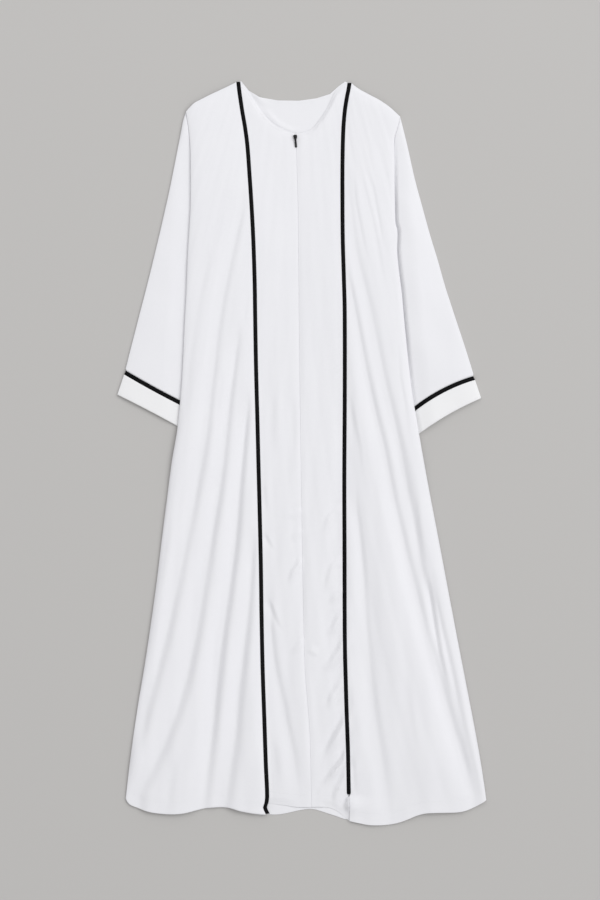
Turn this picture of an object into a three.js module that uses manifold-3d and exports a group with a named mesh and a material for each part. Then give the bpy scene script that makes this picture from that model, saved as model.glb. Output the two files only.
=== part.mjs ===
// A white abaya with black piping, laid flat on its back, front side up.
//
// Millimetres, +Z up. The cloth rests on z = 0 with the neck towards +Y. "Left" and "right"
// are the sides seen from above, so left is -X. Plan points are Vector2(x, drop), where drop
// is the distance below the highest point of the shoulders, and x is measured from the
// middle of the garment.
import * as THREE from 'three';
import Module from 'manifold-3d';
import { mergeVertices } from 'three/addons/utils/BufferGeometryUtils.js';

// ---- Driving dimensions ----

const GARMENT_LENGTH = 1418; // shoulder point to the lowest point of the hem
const CLOTH = 1.2; // thickness of the crepe, doubled at its turned edges
const SEAM_GAP = 0.3; // between two pieces that are sewn together
const PIPING_WIDTH = 7.5;
const PIPING_CROWN = 1; // how far the piping stands above the panels beside it
const PIPING_FLAT = 0.45; // share of its width that is nearly flat on top
const SLEEVE_STACK = 2.8; // two layers of sleeve, pressed flat
const BAND_RAISE = 0.5; // extra height of the cuff and its piping
const BACK_OVER_SLEEVE = 3.6; // underside of the back where a sleeve is tucked beneath it
const TUCK_MARGIN = 20; // the back stays up this far past the tucked sleeve
const TUCK_RAMP = 120; // and comes down to the table over this distance
const SLEEVE_PUFF = 3; // soft rise in the open part of a sleeve
const SLEEVE_PUFF_REACH = 38; // distance over which that rise builds up
const EDGE_ROLL = 24; // the front rounds up from its side edges over this distance
const SHOULDER_ROLL = 26;
const NECK_ROLL = 34;
const NECK_LIE = 0.3; // share of the front's rise that is left at the neckline
const STRIPE_PULL = 0.25; // how much the taut stripe seams hold the front down
const STRIPE_PULL_WIDTH = 16;
const CENTRE_GROOVE = 0.3; // the same along the centre front
const CENTRE_GROOVE_WIDTH = 5;
const FOLD_FADE = 90; // length over which a fold starts and ends
const FOLD_SKEW = 0.4; // how much wider one bank of a fold is, and narrower the other

const ZIP_DROP = 107; // the pull's hinge, below the shoulder point
const ZIP_X = -12;
const SLIDER_REACH = 4; // half the slider's length
const ZIP_TILT = THREE.MathUtils.degToRad(4.6); // the pull hangs a little to the right
const TIP_OFFSET = 2; // so its tip lies this far to the right
const PULL_LENGTH = 21;
const PULL_THICKNESS = 1.2;
const SLIDER_THICKNESS = 2.2;
const HINGE_ABOVE_SLIDER = 1.4;
const PULL_CLEARANCE = 0.4;

const SLOPE_STEP = 2; // slopes are taken over this distance
const MOST_THICKENED = 1.5; // on the steepest banks, straight up through the cloth

const CENTRE_X = 0.5; // middle of the whole width, cuff to cuff
const CENTRE_DROP = GARMENT_LENGTH / 2;

// ---- Tables: each row is one point of an outline or a fold ----

function columns(names, rows) {
  return rows.map((row) => Object.fromEntries(names.map((name, i) => [name, row[i]])));
}

const SIDE_EDGE_LEFT = columns(['drop', 'x'], [
  [59, -220], [75, -217.5], [94, -214.5], [132, -211.5], [190, -211], [240, -211.3],
  [285, -213.8], [342, -217], [400, -219.2], [456, -222], [515, -224.8], [571, -227.6],
  [610, -231], [667, -237], [725, -247], [800, -257], [870, -265.8], [950, -275.5],
  [1032, -286.8], [1112, -298.8], [1190, -311.8], [1255, -321.4], [1310, -328.6], [1367, -335],
]);
const SIDE_EDGE_RIGHT = columns(['drop', 'x'], [
  [69, 188], [84, 184.5], [98, 180], [112, 176.5], [150, 177], [200, 177], [247, 178],
  [272, 179], [286, 182.5], [325, 182], [345, 183.5], [361, 185.3], [400, 190.3], [456, 195.5],
  [515, 201.3], [571, 207.5], [610, 213], [647, 219.5], [680, 225], [760, 239.3], [872, 260.8],
  [979, 281], [1085, 301.2], [1192, 322], [1246, 332.3], [1299, 341.6], [1345, 348.6],
  [1370, 352],
]);
const STRIPE_LEFT = columns(['drop', 'x'], [
  [2, -120.5], [22, -118.3], [36, -116.3], [62, -112.3], [88, -107.8], [122, -103.3], [180, -99],
  [236, -95.3], [303, -91.8], [380, -89.3], [465, -88], [550, -86.5], [640, -84.2], [730, -82],
  [820, -79.7], [920, -77.5], [1025, -76], [1120, -74], [1218, -70.7], [1300, -68], [1361, -65.5],
  [1376, -67], [1384, -69.5], [1396, -64.5],
]);
const STRIPE_RIGHT = columns(['drop', 'x'], [
  [4, 91.5], [20, 88.8], [32, 86.3], [59, 82.2], [93, 79.5], [150, 78], [225, 77.8], [303, 78.4],
  [370, 80.3], [436, 82], [600, 82.2], [760, 81.4], [900, 81.8], [1065, 82.3], [1142, 84],
  [1210, 86], [1275, 88.3], [1361, 90], [1380, 91], [1410, 91],
]);
const CENTRE_SEAM = columns(['drop', 'x'], [
  [99, -11], [227, -7], [417, -5], [610, -3], [800, 0], [990, 3], [1130, 7], [1190, 12],
  [1250, 16], [1384, 19],
]);

// Back panel's top edge: share is the place along the edge, the same as along the hem.
const BACK_TOP = columns(['share', 'x', 'drop'], [
  [0, -220, 59], [0.02, -211, 49.5], [0.05, -200, 42.5], [0.08, -190, 36.3],
  [0.11, -178, 30.5], [0.14, -166, 25], [0.17, -154, 19.6], [0.2, -141, 13.6],
  [0.23, -129, 7.5], [0.26, -115, 0.5], [0.29, -100, 19], [0.34, -80, 31], [0.42, -45, 37.1],
  [0.5, -5, 37.6], [0.58, 28, 33.2], [0.64, 54, 25], [0.68, 70, 10.6], [0.72, 83, 1],
  [0.75, 95, 7.5], [0.79, 110, 17.9], [0.83, 124, 25], [0.87, 138, 32.2], [0.91, 152, 40],
  [0.94, 163, 47.4], [0.97, 175, 56.5], [1, 188, 69],
]);
const SHOULDER_LEFT = columns(['x', 'drop'], [
  [-220, 59], [-206, 44.5], [-193, 37.3], [-174, 28], [-155, 19.6], [-136, 11], [-118, 2],
]);
const SHOULDER_RIGHT = columns(['x', 'drop'], [
  [92.5, 4], [101, 11.5], [112, 18.8], [131, 28.8], [150, 38.7], [169, 51.8], [188, 69],
]);
const FRONT_NECK = columns(['x', 'drop'], [
  [-116, 4], [-100, 20], [-88, 38], [-76, 57], [-65, 72], [-50, 85], [-30, 95], [-11, 100],
  [3, 98.5], [20, 91], [34, 75], [50, 50], [60, 28], [72, 13], [87.7, 4],
]);
const BACK_HEM = columns(['x', 'drop'], [
  [-335, 1367], [-251, 1386], [-165, 1374], [-90, 1394], [-55, 1398], [-40, 1397.3],
  [-24, 1394.3], [-9, 1390.9], [8, 1388], [22, 1387.8], [36, 1391.3], [51, 1396.2], [66, 1401],
  [84, 1407], [112, 1407], [188, 1401], [245, 1386], [302, 1384], [352, 1370],
]);
const FRONT_HEM_LEFT = columns(['x', 'drop'], [
  [-335, 1367], [-329, 1377.2], [-314, 1384], [-294, 1391], [-270, 1395.3], [-246, 1396.5],
  [-223, 1394.7], [-200, 1389.5], [-180, 1385.3], [-155, 1383.7], [-135, 1385.2],
  [-116, 1390.8], [-95, 1395], [-69, 1398],
]);
const FRONT_HEM_CENTRE = columns(['x', 'drop'], [
  [-66, 1376], [-33, 1380], [-10, 1383], [41, 1383], [64, 1389], [91, 1410],
]);
const FRONT_HEM_RIGHT = columns(['x', 'drop'], [
  [91, 1410], [104, 1412.8], [125, 1417], [142, 1418], [160, 1417.4], [176, 1415.3],
  [190, 1411.5], [204, 1405.9], [219, 1399.5], [235, 1395.2], [252, 1393.9], [280, 1393.6],
  [297, 1393], [312, 1390.3], [326, 1385], [341, 1377], [352, 1370],
]);

// How high the cloth stands above the back panel between its folds.
const CREST = columns(['drop', 'side', 'centre'], [
  [0, 3, 2.5], [150, 3.5, 3], [400, 5, 3.5], [700, 8, 4], [1000, 11, 5], [1200, 12, 5.5],
  [1300, 11.3, 4.5], [1384, 6.5, 0.8], [1420, 5, 0.5],
]);

// The largest folds: troughs in the front. Depth is the share of the rise that is lost,
// width the half width of the trough. Its bank towards -X is the gentler one.
function fold(depth, widthTop, widthEnd, path) {
  return { depth, widthTop, widthEnd, path: columns(['drop', 'x'], path) };
}

const FOLDS_LEFT = [
  fold(0.65, 10, 20, [
    [235, -110], [320, -130], [430, -152], [560, -169], [680, -183], [820, -208], [950, -235],
    [1070, -262], [1190, -293], [1260, -308],
  ]),
  fold(0.75, 10, 22, [
    [490, -121], [600, -136], [730, -150], [880, -173], [1000, -192], [1100, -211], [1190, -235],
    [1270, -266], [1360, -310],
  ]),
  fold(0.9, 10, 18, [
    [620, -103], [760, -116], [900, -129], [1000, -142], [1120, -158], [1230, -169],
    [1380, -186],
  ]),
  fold(0.75, 11, 20, [[880, -92], [1020, -103], [1160, -119], [1270, -130], [1390, -148]]),
  fold(0.35, 12, 14, [[340, -180], [470, -205], [600, -222]]),
];
const FOLDS_RIGHT = [
  fold(0.72, 10, 18, [
    [370, 89], [450, 104], [590, 131], [700, 157], [810, 179], [930, 207], [1050, 238],
    [1160, 269], [1270, 300], [1360, 327],
  ]),
  fold(0.6, 12, 17, [
    [200, 86], [340, 107], [430, 129], [580, 160], [710, 189], [830, 210], [940, 230],
    [1060, 250],
  ]),
  fold(0.5, 12, 95, [[620, 91], [800, 103], [1000, 120], [1200, 144], [1400, 172]]),
  fold(0.6, 8, 17, [[800, 103], [900, 114], [1090, 127], [1260, 147], [1410, 169]]),
  fold(0.4, 9, 12, [[960, 247], [1100, 280], [1240, 310], [1360, 338]]),
];
const FOLDS_CENTRE = [
  fold(0.75, 10, 17, [[1000, -60], [1100, -53], [1200, -34], [1290, -16], [1390, -2]]),
  fold(0.5, 9, 9, [[1190, 92], [1250, 55], [1300, 34]]),
  fold(0.5, 8, 8, [[1280, 84], [1320, 48], [1350, 28]]),
];

// The sleeves: the armhole edge and the inner edge lie hidden under the back.
const SLEEVE_OUTER_LEFT = columns(['drop', 'x'], [
  [59, -220], [75, -225.5], [93, -229], [125, -235.2], [150, -240], [205, -251], [232, -257],
  [285, -269], [338, -281.7], [392, -295], [445, -308.8], [498, -322.3], [525, -329.3],
  [550, -335.6], [597, -351],
]);
const SLEEVE_OUTER_RIGHT = columns(['drop', 'x'], [
  [69, 188], [93, 194.3], [125, 202], [178, 213.8], [205, 220.6], [232, 228], [285, 242.5],
  [312, 250.5], [338, 258.5], [392, 273.8], [418, 282.2], [445, 291], [472, 300], [498, 308.6],
  [525, 317.2], [562, 328.5], [606.3, 341],
]);
const ARMHOLE_LEFT = columns(['x', 'drop'], [
  [-220, 59], [-202, 131], [-175, 208], [-117, 322],
]);
const ARMHOLE_RIGHT = columns(['x', 'drop'], [
  [87, 335], [149, 215], [165, 138], [188, 69],
]);

// Lines across a sleeve: its piping's middle and the cuff's lower edge. Bow is how far the
// line's middle rises towards the shoulder.
const CUFFS = {
  left: {
    piping: { start: new THREE.Vector2(-336.1, 555.9), end: new THREE.Vector2(-226, 616), bow: -1.2 },
    edge: { start: new THREE.Vector2(-351, 598), end: new THREE.Vector2(-232, 660.2), bow: 1 },
  },
  right: {
    piping: { start: new THREE.Vector2(214, 626), end: new THREE.Vector2(328.8, 566.2), bow: 6.2 },
    edge: { start: new THREE.Vector2(222, 670.5), end: new THREE.Vector2(341.5, 602.8), bow: 3 },
  },
};

// Outlines that the tucked sleeves lie inside of, with the body's edge above them.
const TUCK_ZONES = [
  [
    [-262, 50], [-217, 56], [-202, 131], [-175, 208], [-117, 322], [-219, 610], [-226, 666],
    [-262, 666],
  ],
  [[230, 60], [186, 66], [165, 138], [149, 215], [87, 335], [206, 625], [217, 680], [250, 680]],
].map((zone) => zone.map(([x, drop]) => new THREE.Vector2(x, drop)));

// The zip's slider and pull, about the pull's hinge, along the zip.
const SLIDER_PLATE = columns(['x', 'along'], [
  [-2.6, -3.6], [2.6, -3.6], [3.2, -2.6], [3.7, 1.6], [3.2, 2.9], [2, 3.6], [-2, 3.6],
  [-3.2, 2.9], [-3.7, 1.6], [-3.2, -2.6],
]);
const PULL_SLOT = columns(['x', 'along'], [[-1.5, -0.6], [1.5, -0.6], [1.5, -4.3], [-1.5, -4.3]]);
// The arch that holds the pull: x is its place along the zip here, and along is upwards.
const BRIDGE_WIDTH = 2;
const BRIDGE_SIDE = columns(['x', 'along'], [
  [-2.8, -1.8], [-1.8, -1.8], [-1.8, 0.8], [-1.4, 1.2], [1.4, 1.2], [1.8, 0.8], [1.8, -1.8],
  [2.8, -1.8], [2.8, 1.1], [1.9, 2], [-1.9, 2], [-2.8, 1.1],
]);

// Shares of the length at which rows of points lie, closer where the stripes end.
const ROWS = [
  ...Array.from({ length: 24 }, (_, i) => i / 24),
  0.965, 0.975, 0.986, 1,
];
const RIGHT_PIPING_ROWS = 25; // the right stripe ends in a tuck above the hem
const CENTRE_COLUMNS = 9;
const SIDE_COLUMNS = 23;
const SLEEVE_ROWS = 9;

// ---- Curves and outlines ----

const clamp01 = (t) => THREE.MathUtils.clamp(t, 0, 1);
const smooth = (t) => THREE.MathUtils.smoothstep(t, 0, 1);
const roundOff = (t) => Math.sqrt(1 - (1 - clamp01(t)) ** 2);

// Value of one column of a table where another column has a given value, on a smooth curve.
function valueAt(table, by, wanted, at) {
  const last = table.length - 1;
  const clamped = THREE.MathUtils.clamp(at, table[0][by], table[last][by]);
  let k = 0;
  while (k < last - 1 && table[k + 1][by] < clamped) {
    k += 1;
  }
  const slope = (a, b) => (table[b][wanted] - table[a][wanted]) / (table[b][by] - table[a][by]);
  const span = table[k + 1][by] - table[k][by];
  const startSlope = k > 0 ? slope(k - 1, k + 1) : slope(k, k + 1);
  const endSlope = k < last - 1 ? slope(k, k + 2) : slope(k, k + 1);
  const t = (clamped - table[k][by]) / span;
  const start = table[k][wanted] * (1 + 2 * t) + startSlope * span * t;
  const end = table[k + 1][wanted] * (3 - 2 * t) - endSlope * span * (1 - t);
  return start * (1 - t) ** 2 + end * t ** 2;
}

// Points of an edge that runs down the garment, at shares of its own length in drop.
function downEdge(table, shares, shift = 0) {
  const first = table[0].drop;
  const last = table[table.length - 1].drop;
  return shares.map((share) => {
    const drop = THREE.MathUtils.lerp(first, last, share);
    return new THREE.Vector2(valueAt(table, 'drop', 'x', drop) + shift, drop);
  });
}

// Points of an edge that runs across the garment, between two values of x.
function acrossEdge(table, shares, fromX, toX) {
  return shares.map((share) => {
    const x = THREE.MathUtils.lerp(fromX, toX, share);
    return new THREE.Vector2(x, valueAt(table, 'x', 'drop', x));
  });
}

// Points at shares of the length of a short list of corners.
function alongCorners(table, shares) {
  const corners = table.map((row) => new THREE.Vector2(row.x, row.drop));
  const curve = new THREE.SplineCurve(corners);
  return shares.map((share) => curve.getPointAt(share));
}

// Fills a four-sided outline: rows run from its left edge to its right edge. The outline's
// corners are the ends of its left and right edges.
function fillOutline({ left, right, top, bottom }, acrossShares, downShares) {
  const last = downShares.length - 1;
  return downShares.map((v, i) => acrossShares.map((u, j) => {
    const between = left[i].clone().lerp(right[i], u).add(top[j].clone().lerp(bottom[j], v));
    const cornersTop = left[0].clone().lerp(right[0], u);
    const cornersBottom = left[last].clone().lerp(right[last], u);
    return between.sub(cornersTop.lerp(cornersBottom, v));
  }));
}

// The same edge with its two end points moved onto the corners that it shares.
const withEnds = (edge, start, end) => [start, ...edge.slice(1, -1), end];

function distanceToSegment(point, start, end) {
  const along = end.clone().sub(start);
  const share = clamp01(point.clone().sub(start).dot(along) / along.lengthSq());
  return point.distanceTo(start.clone().addScaledVector(along, share));
}

// Distance from a point to an outline, nought inside it.
function distanceOutside(point, outline) {
  let inside = false;
  let nearest = Infinity;
  outline.forEach((start, i) => {
    const end = outline[(i + 1) % outline.length];
    nearest = Math.min(nearest, distanceToSegment(point, start, end));
    const crosses = (start.y > point.y) !== (end.y > point.y);
    const crossX = start.x + ((point.y - start.y) * (end.x - start.x)) / (end.y - start.y);
    if (crosses && point.x < crossX) {
      inside = !inside;
    }
  });
  return inside ? 0 : nearest;
}

// ---- Heights of the cloth above the table ----

const isLeft = (point) => point.x < valueAt(CENTRE_SEAM, 'drop', 'x', point.y);
const sideEdgeX = (left, drop) => valueAt(left ? SIDE_EDGE_LEFT : SIDE_EDGE_RIGHT, 'drop', 'x', drop);

function backUnder(point) {
  const distances = TUCK_ZONES.map((zone) => distanceOutside(point, zone));
  const past = (Math.min(...distances) - TUCK_MARGIN) / TUCK_RAMP;
  return BACK_OVER_SLEEVE * (1 - smooth(past));
}

const backOver = (point) => backUnder(point) + CLOTH;

function foldShare(point, folds) {
  return folds.reduce((share, { depth, widthTop, widthEnd, path }) => {
    const start = path[0].drop;
    const end = path[path.length - 1].drop;
    const width = THREE.MathUtils.lerp(widthTop, widthEnd, clamp01((point.y - start) / (end - start)));
    const offset = point.x - valueAt(path, 'drop', 'x', point.y);
    const reach = width * (offset < 0 ? 1 + FOLD_SKEW : 1 - FOLD_SKEW);
    const begins = smooth((point.y - start + FOLD_FADE / 2) / FOLD_FADE);
    const stops = end > GARMENT_LENGTH - FOLD_FADE ? 1 : smooth((end + FOLD_FADE / 2 - point.y) / FOLD_FADE);
    return share * (1 - depth * begins * stops * Math.exp(-((offset / reach) ** 2)));
  }, 1);
}

// Rise of the front's underside above the back panel.
function frontRise(point) {
  const { x, y: drop } = point;
  const left = isLeft(point);
  const outward = left ? -1 : 1;
  const pastStripe = outward * (x - valueAt(left ? STRIPE_LEFT : STRIPE_RIGHT, 'drop', 'x', drop));
  const insideEdge = outward * (sideEdgeX(left, drop) - x);
  const belowShoulder = drop - valueAt(left ? SHOULDER_LEFT : SHOULDER_RIGHT, 'x', 'drop', x);
  const belowNeck = drop - valueAt(FRONT_NECK, 'x', 'drop', x);
  const pastCentre = x - valueAt(CENTRE_SEAM, 'drop', 'x', drop);

  const crest = THREE.MathUtils.lerp(
    valueAt(CREST, 'drop', 'centre', drop),
    valueAt(CREST, 'drop', 'side', drop),
    smooth(pastStripe / EDGE_ROLL + 0.5),
  );
  const atEnds = THREE.MathUtils.lerp(
    THREE.MathUtils.lerp(NECK_LIE, 1, roundOff(belowNeck / NECK_ROLL)),
    roundOff(belowShoulder / SHOULDER_ROLL),
    smooth(pastStripe / PIPING_WIDTH + 0.5),
  );
  const held = 1 - STRIPE_PULL * Math.exp(-((pastStripe / STRIPE_PULL_WIDTH) ** 2));
  const grooved = 1 - CENTRE_GROOVE * Math.exp(-((pastCentre / CENTRE_GROOVE_WIDTH) ** 2));
  const folded = foldShare(point, left ? FOLDS_LEFT : FOLDS_RIGHT) * foldShare(point, FOLDS_CENTRE);
  return crest * roundOff(insideEdge / EDGE_ROLL) * atEnds * held * grooved * folded;
}

const frontUnder = (point) => backOver(point) + SEAM_GAP + frontRise(point);

// Upper side of a wall whose thickness is square to its sloping lower side.
function thickened(under) {
  return (point) => {
    const height = under(point);
    const slopeX = (under(new THREE.Vector2(point.x + SLOPE_STEP, point.y)) - height) / SLOPE_STEP;
    const slopeY = (under(new THREE.Vector2(point.x, point.y + SLOPE_STEP)) - height) / SLOPE_STEP;
    return height + CLOTH * Math.min(Math.hypot(1, slopeX, slopeY), MOST_THICKENED);
  };
}

const frontOver = thickened(frontUnder);

// Upper side of a sleeve: flat under the body, softly puffed where it lies open.
function sleeveOver(raise) {
  return (point) => {
    const left = isLeft(point);
    const outward = left ? -1 : 1;
    const outer = valueAt(left ? SLEEVE_OUTER_LEFT : SLEEVE_OUTER_RIGHT, 'drop', 'x', point.y);
    const pastBody = outward * (point.x - sideEdgeX(left, point.y)) / SLEEVE_PUFF_REACH;
    const insideOuter = outward * (outer - point.x) / SLEEVE_PUFF_REACH;
    return SLEEVE_STACK + raise + SLEEVE_PUFF * smooth(pastBody) * roundOff(insideOuter);
  };
}

// ---- Solids ----

function solidFrom(points, triangles) {
  const geometry = new THREE.BufferGeometry();
  const positions = points.flatMap(({ x, y, z }) => [x - CENTRE_X, CENTRE_DROP - y, z]);
  geometry.setAttribute('position', new THREE.Float32BufferAttribute(positions, 3));
  geometry.setIndex(triangles);
  return geometry;
}

// A closed wall over a grid of plan points, between two height functions.
function wall(grid, under, over) {
  const rows = grid.length;
  const across = grid[0].length;
  const flat = grid.flat();
  const upper = flat.map((p) => new THREE.Vector3(p.x, p.y, over(p)));
  const lower = flat.map((p) => new THREE.Vector3(p.x, p.y, under(p)));
  const triangles = [];
  const upperAt = (i, j) => i * across + j;
  const lowerAt = (i, j) => flat.length + i * across + j;
  for (let i = 0; i < rows - 1; i += 1) {
    for (let j = 0; j < across - 1; j += 1) {
      triangles.push(upperAt(i, j), upperAt(i + 1, j), upperAt(i + 1, j + 1));
      triangles.push(upperAt(i, j), upperAt(i + 1, j + 1), upperAt(i, j + 1));
      triangles.push(lowerAt(i, j), lowerAt(i + 1, j + 1), lowerAt(i + 1, j));
      triangles.push(lowerAt(i, j), lowerAt(i, j + 1), lowerAt(i + 1, j + 1));
    }
  }
  const rim = [];
  for (let i = 0; i < rows - 1; i += 1) {
    rim.push([i, 0]);
  }
  for (let j = 0; j < across - 1; j += 1) {
    rim.push([rows - 1, j]);
  }
  for (let i = rows - 1; i > 0; i -= 1) {
    rim.push([i, across - 1]);
  }
  for (let j = across - 1; j > 0; j -= 1) {
    rim.push([0, j]);
  }
  rim.forEach(([i, j], k) => {
    const [nextI, nextJ] = rim[(k + 1) % rim.length];
    triangles.push(upperAt(nextI, nextJ), upperAt(i, j), lowerAt(i, j));
    triangles.push(upperAt(nextI, nextJ), lowerAt(i, j), lowerAt(nextI, nextJ));
  });
  return solidFrom([...upper, ...lower], triangles);
}

// One loop round a flattened tube: over the top from edge to edge, and back underneath.
function tubeLoop(row, over, inset) {
  const last = row.length - 1;
  const point = (j, z) => new THREE.Vector3(row[j].x, row[j].y, z);
  const middle = SLEEVE_STACK / 2;
  const inner = row.slice(1, last);
  const top = inner.map((p, j) => point(j + 1, over(p) - inset));
  const bottom = inner.map((_, j) => point(last - 1 - j, inset));
  return [point(0, middle), ...top, point(last, middle), ...bottom];
}

// A tube pressed flat: open at both ends, with walls as thick as the cloth.
function flatTube(outerGrid, innerGrid, over) {
  const outer = outerGrid.map((row) => tubeLoop(row, over, 0));
  const inner = innerGrid.map((row) => tubeLoop(row, over, CLOTH));
  const rows = outer.length;
  const around = outer[0].length;
  const triangles = [];
  const outerAt = (i, k) => i * around + (k % around);
  const innerAt = (i, k) => rows * around + i * around + (k % around);
  const quad = (a, b, c, d) => triangles.push(a, b, c, a, c, d);
  for (let k = 0; k < around; k += 1) {
    for (let i = 0; i < rows - 1; i += 1) {
      quad(outerAt(i, k), outerAt(i + 1, k), outerAt(i + 1, k + 1), outerAt(i, k + 1));
      quad(innerAt(i, k), innerAt(i, k + 1), innerAt(i + 1, k + 1), innerAt(i + 1, k));
    }
    quad(outerAt(0, k), outerAt(0, k + 1), innerAt(0, k + 1), innerAt(0, k));
    quad(outerAt(rows - 1, k + 1), outerAt(rows - 1, k), innerAt(rows - 1, k), innerAt(rows - 1, k + 1));
  }
  return solidFrom([...outer.flat(), ...inner.flat()], triangles);
}

// ---- Materials ----

const cloth = () => new THREE.MeshStandardMaterial({ color: 0xeaeaee, roughness: 0.85, metalness: 0 });
const piping = () => new THREE.MeshStandardMaterial({ color: 0x121214, roughness: 0.5, metalness: 0 });
const metal = () => new THREE.MeshStandardMaterial({ color: 0x18191b, roughness: 0.35, metalness: 0.7 });

function named(name, geometry, material) {
  const mesh = new THREE.Mesh(geometry, material);
  mesh.name = name;
  return mesh;
}

// ---- Body panels ----

const shares = (count) => Array.from({ length: count + 1 }, (_, i) => i / count);

function backPanel() {
  const across = BACK_TOP.map((row) => row.share);
  const top = BACK_TOP.map((row) => new THREE.Vector2(row.x, row.drop));
  const hem = acrossEdge(BACK_HEM, across, BACK_HEM[0].x, BACK_HEM[BACK_HEM.length - 1].x);
  const left = downEdge(SIDE_EDGE_LEFT, ROWS);
  const right = downEdge(SIDE_EDGE_RIGHT, ROWS);
  const grid = fillOutline({ left, right, top, bottom: hem }, across, ROWS);
  return named('back', wall(grid, backUnder, backOver), cloth());
}

// Shares across a side panel: closer at its outer edge, where it rolls over.
const SIDE_ACROSS = [0, 0.025, 0.065, ...shares(SIDE_COLUMNS).slice(3)];

function sidePanel(left) {
  const seam = PIPING_WIDTH / 2 + SEAM_GAP;
  const across = left ? SIDE_ACROSS : SIDE_ACROSS.map((u) => 1 - u).reverse();
  const outerEdge = downEdge(left ? SIDE_EDGE_LEFT : SIDE_EDGE_RIGHT, ROWS);
  const stripeEdge = left ? downEdge(STRIPE_LEFT, ROWS, -seam)
    : closedBelowStripe(downEdge(STRIPE_RIGHT, ROWS, seam), SEAM_GAP / 2);
  const grid = panelGrid({
    left: left ? outerEdge : stripeEdge,
    right: left ? stripeEdge : outerEdge,
    topTable: left ? SHOULDER_LEFT : SHOULDER_RIGHT,
    hemTable: left ? FRONT_HEM_LEFT : FRONT_HEM_RIGHT,
  }, across, ROWS);
  const name = left ? 'front_side_left' : 'front_side_right';
  return named(name, wall(grid, frontUnder, frontOver), cloth());
}

function centrePanel(left) {
  const seam = PIPING_WIDTH / 2 + SEAM_GAP;
  const rows = left ? ROWS.slice(0, -1) : ROWS;
  const neckEnd = left ? FRONT_NECK[0] : FRONT_NECK[FRONT_NECK.length - 1];
  const stripeEdge = left ? downEdge(STRIPE_LEFT, rows, seam)
    : closedBelowStripe(downEdge(STRIPE_RIGHT, rows, -seam), -SEAM_GAP / 2);
  stripeEdge[0] = new THREE.Vector2(neckEnd.x, neckEnd.drop);
  const centreEdge = downEdge(CENTRE_SEAM, [...rows.slice(0, -1), 1], left ? -SEAM_GAP / 2 : SEAM_GAP / 2);
  const grid = panelGrid({
    left: left ? stripeEdge : centreEdge,
    right: left ? centreEdge : stripeEdge,
    topTable: FRONT_NECK,
    hemTable: FRONT_HEM_CENTRE,
  }, shares(CENTRE_COLUMNS), rows.map((row) => row / rows[rows.length - 1]));
  const name = left ? 'front_centre_left' : 'front_centre_right';
  return named(name, wall(grid, frontUnder, frontOver), cloth());
}

// Grid of a panel whose top and hem follow tables between its two side edges.
function panelGrid({ left, right, topTable, hemTable }, across, down) {
  const last = down.length - 1;
  const top = acrossEdge(topTable, across, left[0].x, right[0].x);
  const bottom = acrossEdge(hemTable, across, left[last].x, right[last].x);
  return fillOutline({
    left: withEnds(left, top[0], bottom[0]),
    right: withEnds(right, top[across.length - 1], bottom[across.length - 1]),
    top,
    bottom,
  }, across, down);
}

// Below the end of the right stripe the two panels meet at a plain seam.
function closedBelowStripe(edge, offset) {
  return edge.map((point, i) => {
    const seamX = valueAt(STRIPE_RIGHT, 'drop', 'x', point.y) + offset;
    return i < RIGHT_PIPING_ROWS ? point : new THREE.Vector2(seamX, point.y);
  });
}

// The piping fills the seam between a centre and a side panel and stands a little proud.
function frontPiping(left) {
  const table = left ? STRIPE_LEFT : STRIPE_RIGHT;
  const rows = left ? ROWS : ROWS.slice(0, RIGHT_PIPING_ROWS);
  const middle = downEdge(table, rows);
  const columnShares = [-1, -PIPING_FLAT, PIPING_FLAT, 1];
  const offsets = columnShares.map((side) => (side * PIPING_WIDTH) / 2);
  const grid = middle.map((p) => offsets.map((offset) => new THREE.Vector2(p.x + offset, p.y)));
  const crowned = (point) => {
    const fromMiddle = (point.x - valueAt(table, 'drop', 'x', point.y)) / (PIPING_WIDTH / 2);
    return frontOver(point) + PIPING_CROWN * (1 - clamp01(Math.abs(fromMiddle)) ** 2);
  };
  const name = left ? 'piping_front_left' : 'piping_front_right';
  return named(name, wall(grid, frontUnder, crowned), piping());
}

// ---- Sleeves ----

// Shares across a flattened tube, for its outside and its inside. The first and last steps
// are the folded edges.
const TUBE_OUTSIDE = [0, 0.01, 0.1, 0.25, 0.42, 0.6, 0.77, 0.9, 0.99, 1];
const TUBE_INSIDE = [0.01, 0.018, 0.1, 0.25, 0.42, 0.6, 0.77, 0.9, 0.982, 0.99];

// Points of a line across the sleeve, moved down the sleeve by a distance.
function crossLine({ start, end, bow }, across, moved) {
  const direction = end.clone().sub(start).normalize();
  const down = new THREE.Vector2(-direction.y, direction.x);
  return across.map((u) => {
    const rise = 4 * bow * u * (1 - u);
    return start.clone().lerp(end, u).addScaledVector(down, moved - rise);
  });
}

// A tube between two rows of points, one where it starts and one where it ends.
function bandBetween(topLine, bottomLine, raise) {
  const grids = [TUBE_OUTSIDE, TUBE_INSIDE].map((across) => [topLine(across), bottomLine(across)]);
  return flatTube(grids[0], grids[1], sleeveOver(raise));
}

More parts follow.
